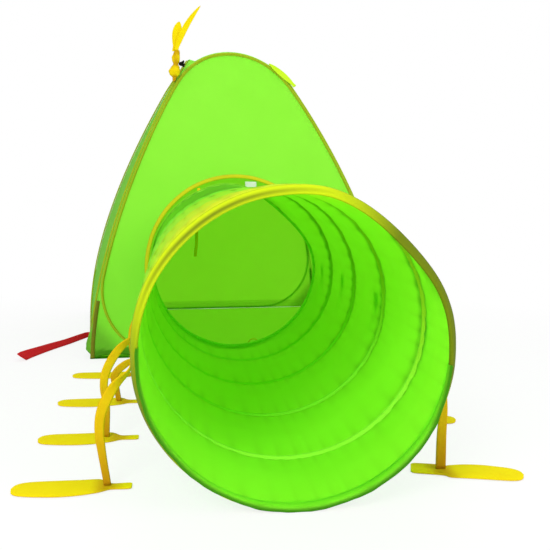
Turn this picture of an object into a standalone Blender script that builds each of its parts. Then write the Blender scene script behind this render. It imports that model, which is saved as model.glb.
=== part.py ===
"""Pop-up play tent with a spring tunnel.

Metres, +Z up. The origin is on the underside of the tent floor, at its centre.
The tunnel leaves the tent's doorway towards -Y and slopes down to the floor.
Run with: blender --background --python part.py
"""

import math

import bmesh
import bpy
import numpy as np
from mathutils import Euler, Matrix, Vector

# Tent
BASE_HALF = 0.4434          # half the side of the square base
SEAM_REACH = 1.0            # the corner seams would draw in by SEAM_DRAW_WIDTH over this height
SEAM_DRAW_WIDTH = 0.382
SEAM_POWER = 1.70           # how late they draw in: 1 would be a straight pyramid
ARCH_START_Z = 0.800        # height where two neighbouring panels part into their own arches
TENT_TURN = math.radians(5.6)   # the tent stands turned on the tunnel's axis
ROOF_MIDDLE_Z = 0.878       # the roof cloth hangs a little below the four arches
CLOTH = 0.0015              # fabric, seam allowance included
GAP = 0.0003                # clearance between sewn pieces
PANEL_ROWS = 9

# Spring-steel loops and the sleeves that hold them on the panels
WIRE_R = 0.00135
SLEEVE_WIDTH = 0.009        # along the corner seams, where two sleeves run side by side
SLEEVE_HEIGHT = 0.0046
SLEEVE_WALL = 0.0012
ARCH_SLEEVE_WIDTH = 0.013   # over the arch, where one sleeve edges the roof
WIDER_FROM_Z = 0.700        # the sleeve widens between these two heights
WIDE_AT_Z = 0.860
SILL_SLEEVE_WIDTH = 0.008   # the sleeve is squashed flat along the floor
SILL_TOP_Z = 0.010
SILL_END_Z = 0.060          # the sleeve has its corner width from here up
SLEEVE_STAND = 0.0015       # the sleeve's outer edge, in from the panel's edge
LOOP_CORNER_R = 0.18        # large bend of the loop at each lower corner
CORNER_STEPS = 6
ARCH_STEPS = 12
CORNER_TAPE_LEG = 0.009
CORNER_TAPE_TOP = 0.160
TAPE_THICKNESS = 0.0012

# Tunnel
TUNNEL_R = 0.240            # outside, across the flats
TUNNEL_LENGTH = 1.21
TUNNEL_SLOPE = math.radians(0.55)   # it climbs to pass over the tent's sill
TUNNEL_SIDE = 0.0065        # tunnel axis to the right of the tent's centre
TUNNEL_REAR_Y = -0.3787     # its rear edge, just inside the tent's doorway
MOUTH_Y = TUNNEL_REAR_Y - TUNNEL_LENGTH * math.cos(TUNNEL_SLOPE)
SIDES = 24                  # flats round the tunnel, one of them on the floor
COIL_PITCH = 0.26
COIL_RIGHT_AT = 0.165       # first crossing of the right-hand side, back from the mouth
COIL_GAP = 0.0006           # coil and tape to the cloth
COIL_TAPE_WIDTH = 0.014
RING_INSET = 0.0085         # end rings, in from the cloth's edges
RING_SLEEVE_WIDTH = 0.014

# Doorway
DOOR_CLEARANCE = 0.018      # round the tunnel
DOOR_R = TUNNEL_R + DOOR_CLEARANCE
DOOR_SIDE = 0.008           # the doorway's centre to the right of the tunnel's axis
DOOR_STEPS = 30
BINDING_DEPTH = 0.006       # door binding, from the cut edge onto the cloth
BINDING_PROUD = 0.003
BINDING_WALL = 0.001

# Legs: patch, strap and foot
LEGS_ALONG = {              # back from the mouth, as shares of the tunnel's length
    "left": (0.1033, 0.3107, 0.5256, 0.7405),
    "right": (0.1223, 0.3884, 0.6529, 0.8620),
}
PATCH_WIDTH = 0.026
PATCH_HEIGHT = 0.030
PATCH_THICKNESS = 0.0015
STRAP_WIDTH = 0.016
STRAP_THICKNESS = 0.0026
STRAP_TAPER = 0.56          # its width at the foot, as a share of its full width
STRAP_BULGE = {"left": 0.052, "right": 0.030}   # how far a slack strap stands out from the wall
STRAP_FOOT_OUT = {"left": 0.040, "right": 0.028}    # where it meets the foot, out from the wall
STRAP_STEPS = 12
FOOT_THICKNESS = 0.0045
FOOT_LENGTH = 0.186
FOOT_TAIL = {"left": 0.038, "right": 0.050}     # the part inside the strap
FOOT_TAIL_HALF = {"left": 0.0105, "right": 0.0235}  # folded double on the left
FOOT_TURN = {"left": 0.0, "right": -17.0}       # degrees
FOOT_HALF_WIDTH = 0.0335

# Antennae, straps and ribbons
BLADE_THICKNESS = 0.003
LONG_BLADE = 0.150
LONG_BLADE_HALF = 0.0095
LONG_BLADE_BEND = 0.032
LONG_BLADE_LEAN = math.radians(15)
SHORT_BLADE = 0.090
SHORT_BLADE_HALF = 0.0140
SHORT_BLADE_BEND = 0.004
SHORT_BLADE_LEAN = math.radians(5)
KNOT_R = 0.0135
KNOT_MIDDLE_Z = 0.033       # over the corner where the two arches part
KNOT_TOP_Z = 0.060          # over its middle
KNOT_WAIST_Z = 0.020
KNOT_WAIST = 0.58           # the waist's radius, as a share of KNOT_R
KNOT_STAND = 0.0022         # its stem stands in the corner, this far out from each panel
TUFT_R = 0.0065
TUFT_BESIDE = 1.30          # its distance from the knot's middle, as a share of KNOT_R
RIGHT_BLADE = 0.112
RIGHT_BLADE_HALF = 0.0100
RIGHT_BLADE_OUT = 0.010     # its foot, out from the corner to the right
RIGHT_BLADE_STAND = 0.0088  # and forward of the front wall
RIGHT_BLADE_DROP = 0.002
RIGHT_BLADE_BEND = -0.012
RIGHT_BLADE_LEAN = math.radians(-36)
RED_STRAP_HALF = 0.020
RED_STRAP_OUT = 0.188       # its reach away from the wall
RED_STRAP_AHEAD = 0.330     # its reach along the wall
RED_STRAP_FROM = 0.115      # sewn to the left panel, this far forward of its middle
RED_STRAP_Z = 0.016         # sewn along its upper edge, its middle at this height
RED_STRAP_STAND = 0.0010    # its slanted end, out from the wall
RIBBON_WIDTH = 0.009
RIBBON_THICKNESS = 0.0012
RIBBON_DROP = 0.205
BOW_R = 0.017
TAG_WIDTH = 0.034
TAG_DROP = 0.038
TAG_THICKNESS = 0.001
TAG_SAG = 0.0020            # its straight top edge hangs below the round binding
TAG_ANGLE = math.radians(80)    # its place round the doorway
RIBBON_ANGLE = math.radians(116)

LIME = (0.30, 0.93, 0.06)
OLIVE = (0.56, 0.60, 0.03)
YELLOW = (0.95, 0.80, 0.02)
RED = (0.62, 0.02, 0.03)
BLACK = (0.01, 0.012, 0.01)
STEEL = (0.45, 0.46, 0.47)
WHITE = (0.85, 0.88, 0.85)

MATERIALS = {}


def material(name, colour, roughness, metallic=0.0):
    """One Principled material for each finish, made the first time it is asked for."""
    if name not in MATERIALS:
        made = bpy.data.materials.new(name)
        made.use_nodes = True
        shader = made.node_tree.nodes["Principled BSDF"]
        shader.inputs["Base Color"].default_value = (*colour, 1.0)
        shader.inputs["Roughness"].default_value = roughness
        shader.inputs["Metallic"].default_value = metallic
        MATERIALS[name] = made
    return MATERIALS[name]


def cloth_material():
    return material("lime_nylon_taffeta", LIME, 0.55)


def binding_material():
    return material("olive_binding_tape", OLIVE, 0.6)


def yellow_material():
    return material("yellow_polyester_felt", YELLOW, 0.7)


def red_material():
    return material("red_webbing", RED, 0.65)


def black_material():
    return material("black_cord_fray", BLACK, 0.8)


def steel_material():
    return material("blued_spring_steel", STEEL, 0.35, 1.0)


def tag_material():
    return material("white_satin_ribbon", WHITE, 0.45)


def clear_scene():
    for thing in list(bpy.data.objects):
        bpy.data.objects.remove(thing)


def empty(name, location, rotation=(0, 0, 0), parent=None):
    made = bpy.data.objects.new(name, None)
    bpy.context.scene.collection.objects.link(made)
    made.location = location
    made.rotation_euler = Euler(rotation)
    made.parent = parent
    return made


def add_object(name, bm, finish, parent=None, location=(0, 0, 0), rotation=(0, 0, 0), smooth=40):
    """Make one named object of a bmesh, faces out, and place it under its parent."""
    bmesh.ops.recalc_face_normals(bm, faces=bm.faces)
    mesh = bpy.data.meshes.new(name)
    bm.to_mesh(mesh)
    bm.free()
    mesh.materials.append(finish)
    mesh.shade_smooth()
    mesh.set_sharp_from_angle(angle=math.radians(smooth))
    made = bpy.data.objects.new(name, mesh)
    bpy.context.scene.collection.objects.link(made)
    made.location = location
    made.rotation_euler = Euler(rotation)
    made.parent = parent
    return made


def sweep(bm, points, sides, ups, profile, closed, widths=None):
    """Loft a profile of (side, up) pairs along points, each with its own frame."""
    rings = []
    for i, point in enumerate(points):
        scale = widths[i] if widths else 1.0
        ring = [bm.verts.new(point + sides[i] * (a * scale) + ups[i] * b) for a, b in profile]
        rings.append(ring)
    count = len(profile)
    spans = len(points) if closed else len(points) - 1
    for i in range(spans):
        here = rings[i]
        there = rings[(i + 1) % len(points)]
        for j in range(count):
            k = (j + 1) % count
            bm.faces.new((here[j], here[k], there[k], there[j]))
    if not closed:
        bm.faces.new(rings[0])
        bm.faces.new(list(reversed(rings[-1])))


def circle_profile(radius, sides):
    turn = 2 * math.pi / sides
    return [(radius * math.cos(turn * i), radius * math.sin(turn * i)) for i in range(sides)]


def sleeve_profile(width):
    """A hat-shaped channel, open towards the cloth it is sewn to."""
    foot = width / 2
    crown = width * 0.29
    top = SLEEVE_HEIGHT
    inner_foot = foot - SLEEVE_WALL * 1.3
    inner_crown = crown - SLEEVE_WALL * 0.5
    inner_top = top - SLEEVE_WALL
    outer = [(-foot, 0), (-crown, top), (crown, top), (foot, 0)]
    inner = [(inner_foot, 0), (inner_crown, inner_top), (-inner_crown, inner_top), (-inner_foot, 0)]
    return outer + inner


def smooth_path(knots, steps):
    """Points on a Catmull-Rom curve through the knots, equally spaced in its parameter."""
    knots = [Vector(k) for k in knots]
    ends = [knots[0] * 2 - knots[1]] + knots + [knots[-1] * 2 - knots[-2]]
    points = []
    for i in range(steps + 1):
        t = i / steps * (len(knots) - 1)
        k = min(int(t), len(knots) - 2)
        t -= k
        a, b, c, d = ends[k:k + 4]
        part = b * 2 + (c - a) * t + (a * 2 - b * 5 + c * 4 - d) * t * t
        part += (b * 3 - a - c * 3 + d) * t ** 3
        points.append(part / 2)
    return points


def tangents(points, closed=False):
    count = len(points)
    found = []
    for i in range(count):
        before = points[(i - 1) % count] if closed or i else points[0]
        after = points[(i + 1) % count] if closed or i < count - 1 else points[-1]
        found.append((after - before).normalized())
    return found


# The shape of the tent

def drawn_half(z):
    """Half the tent's width at height z, as the cloth is drawn by its loops."""
    return BASE_HALF - SEAM_DRAW_WIDTH * (max(z, 0.0) / SEAM_REACH) ** SEAM_POWER


def seam_slope(z):
    """How much the half-width shrinks for each metre climbed; the arches' part is flat."""
    steepest = SEAM_DRAW_WIDTH * SEAM_POWER / SEAM_REACH
    return steepest * (min(max(z, 0.0), ARCH_START_Z) / SEAM_REACH) ** (SEAM_POWER - 1)


ROW_HEIGHT = ARCH_START_Z / PANEL_ROWS
ROWS = [ROW_HEIGHT * i for i in range(PANEL_ROWS + 1)]


def seam_half(z):
    """Half the tent's width at height z, straight from one row of the panel to the next."""
    if z >= ARCH_START_Z:
        return drawn_half(ARCH_START_Z) - (z - ARCH_START_Z) * seam_slope(ARCH_START_Z)
    row = max(int(z / ROW_HEIGHT), 0)
    share = z / ROW_HEIGHT - row
    return drawn_half(ROWS[row]) * (1 - share) + drawn_half(ROWS[row + 1]) * share


def with_row_points(points):
    """Add a point wherever an outline of (x, z) crosses a row, so it follows the facets."""
    found = [points[0]]
    for here, there in zip(points, points[1:]):
        low, high = sorted((here[1], there[1]))
        crossed = [z for z in ROWS if low + 0.004 < z < high - 0.004]
        if there[1] < here[1]:
            crossed.reverse()
        for z in crossed:
            share = (z - here[1]) / (there[1] - here[1])
            found.append((here[0] + (there[0] - here[0]) * share, z))
        found.append(there)
    return found


ARCH_SLOPE = seam_slope(ARCH_START_Z)
ARCH_CENTRE_Z = ARCH_START_Z - seam_half(ARCH_START_Z) * ARCH_SLOPE
ARCH_R = seam_half(ARCH_START_Z) * math.hypot(1, ARCH_SLOPE)
ARCH_HALF_ANGLE = math.atan2(1, ARCH_SLOPE)
TENT_TOP_Z = ARCH_CENTRE_Z + ARCH_R


def on_panel(x, z, off=0.0):
    """A point on the front panel's outer face, moved out along its normal."""
    point = Vector((x, -seam_half(z), z))
    return point + panel_normal(z) * off


def panel_normal(z):
    return Vector((0, -1, seam_slope(z))).normalized()


def panel_outline():
    """Right-hand half of a panel's edge as (x, z), from the floor to the top of the arch."""
    edge = CLOTH + GAP
    bottom = CLOTH + GAP
    rows = [bottom] + ROWS[1:]
    points = [(seam_half(z) - edge, z) for z in rows]
    steps = ARCH_STEPS // 2
    for i in range(1, steps + 1):
        angle = ARCH_HALF_ANGLE * (1 - i / steps)
        radius = ARCH_R - edge
        points.append((radius * math.sin(angle), ARCH_CENTRE_Z + radius * math.cos(angle)))
    return points


def panel_mesh():
    """One wall of the tent: a curved sheet, its side edges on the corner seams."""
    bm = bmesh.new()
    outline = panel_outline()
    layers = []
    for depth in (0.0, -CLOTH):
        left = [bm.verts.new(on_panel(-x, z, depth)) for x, z in outline[:-1]]
        right = [bm.verts.new(on_panel(x, z, depth)) for x, z in outline[:-1]]
        top = bm.verts.new(on_panel(0.0, outline[-1][1], depth))
        layers.append((left, right, top))
    for left, right, top in layers:
        for i in range(len(left) - 1):
            bm.faces.new((left[i], right[i], right[i + 1], left[i + 1]))
        bm.faces.new((left[-1], right[-1], top))
    rim = []
    for left, right, top in layers:
        rim.append(left + [top] + list(reversed(right)))
    outer, inner = rim
    for i in range(len(outer)):
        k = (i + 1) % len(outer)
        bm.faces.new((outer[i], outer[k], inner[k], inner[i]))
    return bm


def sleeve_width(z):
    """The sleeve's width at a height: flat on the sill, narrow up the corner, wide on the arch."""
    low = min(max((z - SILL_TOP_Z) / (SILL_END_Z - SILL_TOP_Z), 0.0), 1.0)
    high = min(max((z - WIDER_FROM_Z) / (WIDE_AT_Z - WIDER_FROM_Z), 0.0), 1.0)
    width = SILL_SLEEVE_WIDTH + (SLEEVE_WIDTH - SILL_SLEEVE_WIDTH) * low
    return width + (ARCH_SLEEVE_WIDTH - SLEEVE_WIDTH) * high * high * (3 - 2 * high)


def loop_inset(z):
    return SLEEVE_STAND + sleeve_width(z) / 2


def loop_outline():
    """The spring loop's centre line on a panel as (x, z), once round."""
    radius = LOOP_CORNER_R
    bottom = CLOTH + GAP + SILL_SLEEVE_WIDTH / 2
    knee = bottom + radius
    for _ in range(30):
        lean = math.atan(seam_slope(knee))
        knee = bottom + radius * (1 + math.sin(lean))
    lean = math.atan(seam_slope(knee))
    centre_x = seam_half(knee) - loop_inset(knee) - radius * math.cos(lean)
    centre_z = bottom + radius
    half = []
    for i in range(CORNER_STEPS + 1):
        angle = -math.pi / 2 + (math.pi / 2 + lean) * i / CORNER_STEPS
        half.append((centre_x + radius * math.cos(angle), centre_z + radius * math.sin(angle)))
    for z in ROWS:
        if z > knee + ROW_HEIGHT / 4:
            half.append((seam_half(z) - loop_inset(z), z))
    steps = ARCH_STEPS // 2
    for i in range(1, steps):
        angle = ARCH_HALF_ANGLE * (1 - i / steps)
        arch = ARCH_R - loop_inset(ARCH_CENTRE_Z + ARCH_R * math.cos(angle))
        half.append((arch * math.sin(angle), ARCH_CENTRE_Z + arch * math.cos(angle)))
    top = [(0.0, TENT_TOP_Z - loop_inset(TENT_TOP_Z))]
    half = with_row_points(half)
    mirrored = [(-x, z) for x, z in reversed(half)]
    return half + top + mirrored


def loop_frames(off):
    points = [on_panel(x, z, off) for x, z in loop_outline()]
    ups = [panel_normal(z) for _, z in loop_outline()]
    ahead = tangents(points, closed=True)
    sides = [a.cross(u).normalized() for a, u in zip(ahead, ups)]
    return points, sides, ups


def sleeve_widths():
    return [sleeve_width(z) / SLEEVE_WIDTH for _, z in loop_outline()]


def loop_mesh():
    bm = bmesh.new()
    points, sides, ups = loop_frames(GAP + WIRE_R)
    sweep(bm, points, sides, ups, circle_profile(WIRE_R, 6), closed=True)
    return bm


def sleeve_mesh():
    bm = bmesh.new()
    points, sides, ups = loop_frames(GAP)
    sweep(bm, points, sides, ups, sleeve_profile(SLEEVE_WIDTH), True, sleeve_widths())
    return bm


def corner_tape_mesh():
    """Brown tape folded round a corner seam, from the floor up to where the sleeves meet it."""
    bm = bmesh.new()
    low = CLOTH + GAP
    leg = CORNER_TAPE_LEG
    thick = TAPE_THICKNESS
    rings = []
    for z in (low, ROWS[1], CORNER_TAPE_TOP):
        c = -(seam_half(z) + GAP * 1.5)
        shape = [(c, c), (c + leg, c), (c + leg, c - thick), (c - thick, c - thick),
                 (c - thick, c + leg), (c, c + leg)]
        rings.append([bm.verts.new((x, y, z)) for x, y in shape])
    for here, there in zip(rings, rings[1:]):
        for j in range(6):
            k = (j + 1) % 6
            bm.faces.new((here[j], here[k], there[k], there[j]))
    bm.faces.new(rings[0])
    bm.faces.new(list(reversed(rings[-1])))
    return bm


def roof_mesh():
    """The cloth that closes the top between the four arches."""
    bm = bmesh.new()
    inset = CLOTH * math.hypot(1, ARCH_SLOPE) + GAP * 1.2
    corner = seam_half(ARCH_START_Z) - inset
    steps = 8
    rings = 4
    boundary = []
    for quarter in range(4):
        turn = Matrix.Rotation(quarter * math.pi / 2, 3, "Z")
        for i in range(steps):
            angle = ARCH_HALF_ANGLE * (2 * i / steps - 1)
            x = ARCH_R * math.sin(angle)
            z = ARCH_CENTRE_Z + ARCH_R * math.cos(angle)
            share = corner / seam_half(ARCH_START_Z)
            boundary.append(turn @ Vector((x * share, -(seam_half(z) - inset), z - GAP)))
    layers = []
    for drop in (0.0, CLOTH):
        loops = []
        for r in range(1, rings + 1):
            share = r / rings
            loop = []
            for b in boundary:
                z = ROOF_MIDDLE_Z + (b.z - ROOF_MIDDLE_Z) * share ** 2
                loop.append(bm.verts.new((b.x * share, b.y * share, z - drop)))
            loops.append(loop)
        layers.append((bm.verts.new((0, 0, ROOF_MIDDLE_Z - drop)), loops))
    count = len(boundary)
    for middle, loops in layers:
        for i in range(count):
            k = (i + 1) % count
            bm.faces.new((middle, loops[0][i], loops[0][k]))
            for here, there in zip(loops, loops[1:]):
                bm.faces.new((here[i], there[i], there[k], here[k]))
    for i in range(count):
        k = (i + 1) % count
        upper = layers[0][1][-1]
        lower = layers[1][1][-1]
        bm.faces.new((upper[i], lower[i], lower[k], upper[k]))
    return bm


# The shape of the tunnel. Its own frame: x right, y back along the axis, z up.

def ring_angle(k):
    """Angle of the k-th corner of the 24-sided tube; corners straddle the floor."""
    return math.pi / SIDES * (2 * k + 1)


def tube_point(k, along, flat_radius):
    radius = flat_radius / math.cos(math.pi / SIDES)
    angle = ring_angle(k)
    return Vector((radius * math.cos(angle), along, radius * math.sin(angle)))


def radial(k):
    angle = ring_angle(k)
    return Vector((math.cos(angle), 0, math.sin(angle)))


def tunnel_cloth_mesh():
    bm = bmesh.new()
    loops = []
    stations = [0.0, TUNNEL_LENGTH]
    for along, radius in ((stations[0], TUNNEL_R), (stations[1], TUNNEL_R),
                          (stations[1], TUNNEL_R - CLOTH), (stations[0], TUNNEL_R - CLOTH)):
        loops.append([bm.verts.new(tube_point(k, along, radius)) for k in range(SIDES)])
    for i in range(4):
        here = loops[i]
        there = loops[(i + 1) % 4]
        for k in range(SIDES):
            m = (k + 1) % SIDES
            bm.faces.new((here[k], here[m], there[m], there[k]))
    return bm


def ring_frames(along, depth):
    """Corners of an end ring, depth in from the cloth's inner face, with frames facing out."""
    radius = TUNNEL_R - CLOTH - depth
    points = [tube_point(k, along, radius) for k in range(SIDES)]
    ups = [radial(k) for k in range(SIDES)]
    sides = [Vector((0, 1, 0))] * SIDES
    return points, sides, ups


def inward(profile):
    """Turn a profile over, so that its crown points at the tunnel's axis."""
    return [(a, -b) for a, b in profile]


def end_ring_mesh(along):
    bm = bmesh.new()
    points, sides, ups = ring_frames(along, GAP + WIRE_R)
    sweep(bm, points, sides, ups, circle_profile(WIRE_R, 6), closed=True)
    return bm


def end_binding_mesh(along):
    bm = bmesh.new()
    points, sides, ups = ring_frames(along, GAP)
    sweep(bm, points, sides, ups, inward(sleeve_profile(RING_SLEEVE_WIDTH)), closed=True)
    return bm


def coil_stations():
    """(corner number, distance back) along the helix, clear of both end rings."""
    reach = RING_INSET + RING_SLEEVE_WIDTH / 2 + GAP + COIL_TAPE_WIDTH / 2 * 1.02
    found = []
    turns = int(TUNNEL_LENGTH / COIL_PITCH) + 2
    for k in range(SIDES * turns, -SIDES * (turns + 1), -1):
        along = COIL_RIGHT_AT - COIL_PITCH * ring_angle(k) / (2 * math.pi)
        if reach <= along <= TUNNEL_LENGTH - reach:
            found.append((k, along))
    return found


def coil_frames(depth):
    radius = TUNNEL_R - CLOTH - depth
    stations = coil_stations()
    points = [tube_point(k, along, radius) for k, along in stations]
    ups = [radial(k) for k, _ in stations]
    ahead = tangents(points)
    sides = [(a.cross(u)).normalized() for a, u in zip(ahead, ups)]
    return points, sides, ups


def coil_mesh():
    bm = bmesh.new()
    points, sides, ups = coil_frames(COIL_GAP + WIRE_R)
    sweep(bm, points, sides, ups, circle_profile(WIRE_R, 6), closed=False)
    spots = np.array([tuple(p) for p in points])
    least = min(
        np.linalg.norm(spots[i + SIDES // 2:] - spots[i], axis=1).min()
        for i in range(len(spots) - SIDES // 2)
    )
    print(f"coil: {len(spots) / SIDES:.2f} turns, least gap to itself {least - 2 * WIRE_R:.4f} m")
    return bm


def coil_tape_mesh():
    bm = bmesh.new()
    points, sides, ups = coil_frames(COIL_GAP)
    sweep(bm, points, sides, ups, inward(sleeve_profile(COIL_TAPE_WIDTH)), closed=False)
    return bm


# The doorway, cut round the tunnel's axis

AXIS_DROP = TUNNEL_R * math.cos(TUNNEL_SLOPE)       # height of the axis at the mouth
SILL_Z = CLOTH + GAP + SILL_SLEEVE_WIDTH + GAP * 2


def axis_z(y):
    """Height of the tunnel's axis at a world y."""
    return AXIS_DROP + (y - MOUTH_Y) * math.tan(TUNNEL_SLOPE)


DOOR_Z = axis_z(-seam_half(TUNNEL_R))


def door_point(angle, radius):
    """World x and z of the doorway's edge."""
    x = TUNNEL_SIDE + DOOR_SIDE + radius * math.cos(angle)
    return x, DOOR_Z + radius * math.sin(angle)


def door_angles():
    """Corners of the doorway's edge, from the sill on the right to the sill on the left."""
    low = math.asin((SILL_Z - DOOR_Z) / DOOR_R)
    return [low + (math.pi - 2 * low) * i / DOOR_STEPS for i in range(DOOR_STEPS + 1)]


def door_cutter():
    bm = bmesh.new()
    front = []
    back = []
    for angle in door_angles():
        x, z = door_point(angle, DOOR_R)
        front.append(bm.verts.new((x, -BASE_HALF * 1.4, z)))
        back.append(bm.verts.new((x, -BASE_HALF * 0.45, z)))
    for i in range(len(front)):
        k = (i + 1) % len(front)
        bm.faces.new((front[i], front[k], back[k], back[i]))
    bm.faces.new(front)
    bm.faces.new(list(reversed(back)))
    cutter = add_object("door_cutter", bm, cloth_material())
    cutter.hide_render = True
    cutter.display_type = "WIRE"
    return cutter


def to_panel(x_world, z):
    """The front panel's own x for a point of its face at a world x."""
    return (x_world - seam_half(z) * math.sin(TENT_TURN)) / math.cos(TENT_TURN)


def door_frames():
    """Frames along the doorway's edge, from just above the sill's sleeve on either side."""
    edge = [door_point(angle, DOOR_R) for angle in door_angles()]
    edge = [(x, z) for x, z in edge if z > SILL_Z + BINDING_DEPTH]
    points = []
    ups = []
    for x, z in with_row_points(edge):
        points.append(on_panel(to_panel(x, z), z, -CLOTH / 2))
        ups.append(panel_normal(z))
    ahead = tangents(points)
    sides = [a.cross(u).normalized() for a, u in zip(ahead, ups)]
    return points, sides, ups


def door_binding_mesh():
    """A folded tape that grips the doorway's cut edge from both faces."""
    bm = bmesh.new()
    points, sides, ups = door_frames()
    slot = CLOTH / 2 + GAP
    wall = BINDING_WALL
    grip = BINDING_DEPTH
    lip = -BINDING_PROUD
    profile = [(lip, -slot - wall), (grip, -slot - wall), (grip, -slot), (-GAP * 3, -slot),
               (-GAP * 3, slot), (grip, slot), (grip, slot + wall), (lip, slot + wall)]
    sweep(bm, points, sides, ups, profile, closed=False)
    return bm


def box(bm, low, high, turn=None, at=(0, 0, 0)):
    corners = [Vector((x, y, z)) for x in (low[0], high[0]) for y in (low[1], high[1])
               for z in (low[2], high[2])]
    if turn:
        corners = [turn @ c for c in corners]
    made = [bm.verts.new(c + Vector(at)) for c in corners]
    for f in ((0, 1, 3, 2), (4, 6, 7, 5), (0, 4, 5, 1), (2, 3, 7, 6), (0, 2, 6, 4), (1, 5, 7, 3)):
        bm.faces.new([made[i] for i in f])


def blade_mesh(length, half, neck, bend, tip=0.08, steps=8):
    """A leaf-shaped strip that stands on its neck at the origin and leans with its bend."""
    bm = bmesh.new()
    points = []
    for i in range(steps + 1):
        t = i / steps
        points.append(Vector((bend * t * t, 0, length * t)))
    ahead = tangents(points)
    sides = [Vector((a.z, 0, -a.x)) for a in ahead]
    ups = [Vector((0, 1, 0))] * len(points)
    thick = BLADE_THICKNESS / 2
    profile = [(-half, -thick), (half, -thick), (half, thick), (-half, thick)]
    widths = []
    for i in range(steps + 1):
        t = i / steps
        leaf = math.sin(math.pi * min(max(t, 0.0), 1.0) ** 0.75) ** 0.7 if 0 < t < 1 else 0.0
        widths.append(max(leaf, neck * (1 - t), tip))
    sweep(bm, points, sides, ups, profile, False, widths)
    return bm


def build_tent():
    tent = empty("tent", (0, 0, 0), (0, 0, TENT_TURN))
    walls = ("front", "right", "back", "left")
    cutter = door_cutter()
    for i, wall in enumerate(walls):
        turn = (0, 0, i * math.pi / 2)
        panel = add_object(f"{wall}_panel", panel_mesh(), cloth_material(), tent, rotation=turn)
        if wall == "front":
            cut = panel.modifiers.new("doorway", "BOOLEAN")
            cut.operation = "DIFFERENCE"
            cut.object = cutter
        add_object(f"{wall}_loop", loop_mesh(), steel_material(), tent, rotation=turn)
        add_object(f"{wall}_sleeve", sleeve_mesh(), binding_material(), tent, rotation=turn)
        add_object(f"{wall}_corner_tape", corner_tape_mesh(), binding_material(), tent,
                   rotation=turn)
    add_object("roof_panel", roof_mesh(), cloth_material(), tent)
    floor = bmesh.new()
    reach = BASE_HALF + GAP * 2 + TAPE_THICKNESS + 0.002
    box(floor, (-reach, -reach, 0), (reach, reach, CLOTH))
    add_object("floor_sheet", floor, cloth_material(), tent)
    add_object("doorway_binding", door_binding_mesh(), binding_material(), tent)
    return tent


def build_tunnel():
    mouth = empty("tunnel_mouth", (TUNNEL_SIDE, MOUTH_Y, AXIS_DROP), (TUNNEL_SLOPE, 0, 0))
    add_object("tunnel_cloth", tunnel_cloth_mesh(), cloth_material(), mouth)
    add_object("tunnel_coil", coil_mesh(), steel_material(), mouth)
    add_object("coil_tape", coil_tape_mesh(), binding_material(), mouth)
    for end, along in (("front", RING_INSET), ("rear", TUNNEL_LENGTH - RING_INSET)):
        add_object(f"{end}_ring", end_ring_mesh(along), steel_material(), mouth)
        add_object(f"{end}_ring_binding", end_binding_mesh(along), binding_material(), mouth)
    return mouth


def strap_path(side, drop):
    """Centre line of a leg strap, x out from the wall and z down from its hinge."""
    half = STRAP_THICKNESS / 2
    bulge = STRAP_BULGE[side]
    knots = [(half, 0, 0), (half + 0.0030, 0, -drop * 0.14), (bulge * 0.28, 0, -drop * 0.27),
             (bulge * 0.82, 0, -drop * 0.42), (bulge, 0, -drop * 0.58),
             (bulge * 0.93, 0, -drop * 0.76), (STRAP_FOOT_OUT[side], 0, -drop)]
    return smooth_path(knots, STRAP_STEPS)


def strap_mesh(side, drop):
    """Flat on the wall at the top, twisted a quarter turn by the time it is off it."""
    bm = bmesh.new()
    points = strap_path(side, drop)
    ahead = tangents(points)
    sides = []
    ups = []
    for i, a in enumerate(ahead):
        share = min(max((i / STRAP_STEPS - 0.22) / 0.4, 0.0), 1.0)
        if i in (0, STRAP_STEPS):
            a = Vector((0, 0, -1))
        twist = Matrix.Rotation(math.pi / 2 * share * share * (3 - 2 * share), 3, a)
        along = Vector((0, 1, 0))
        sides.append(twist @ along)
        ups.append(twist @ a.cross(along))
    widths = [1 - (1 - STRAP_TAPER) * (i / STRAP_STEPS) ** 2 for i in range(STRAP_STEPS + 1)]
    w = STRAP_WIDTH / 2
    t = STRAP_THICKNESS / 2
    sweep(bm, points, sides, ups, [(-w, -t), (w, -t), (w, t), (-w, t)], False, widths)
    return bm


def foot_outline(side):
    """(x, far edge, near edge) along a sole, from its tail inside the strap to its rounded toe."""
    tail = FOOT_TAIL[side]
    leaf = FOOT_LENGTH - tail
    narrow = FOOT_TAIL_HALF[side]
    half = FOOT_HALF_WIDTH
    found = [(-tail * x, -narrow * y, narrow * y)
             for x, y in ((1.0, 0.72), (0.90, 0.95), (0.70, 1.0), (0.14, 1.0))]
    for x, far, near in ((0.05, 0.80, 0.62), (0.12, 1.0, 0.78), (0.30, 0.97, 1.02), (0.50, 0.94, 1.1),
                         (0.70, 0.92, 1.02), (0.84, 0.84, 0.84), (0.93, 0.64, 0.60),
                         (0.98, 0.36, 0.32)):
        found.append((leaf * x, -half * far, half * near))
    return found


def foot_mesh(side):
    """A felt sole lying on the floor: straight far edge, curved near edge, round toe outside."""
    bm = bmesh.new()
    stations = foot_outline(side)
    one = [bm.verts.new((x, a, 0)) for x, a, _ in stations]
    other = [bm.verts.new((x, b, 0)) for x, _, b in reversed(stations)]
    tip = bm.verts.new((FOOT_LENGTH - FOOT_TAIL[side], 0, 0))
    sole = bm.faces.new(one + [tip] + other)
    top = bmesh.ops.extrude_face_region(bm, geom=[sole])
    raised = [v for v in top["geom"] if isinstance(v, bmesh.types.BMVert)]
    bmesh.ops.translate(bm, vec=(0, 0, FOOT_THICKNESS), verts=raised)
    return bm


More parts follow.
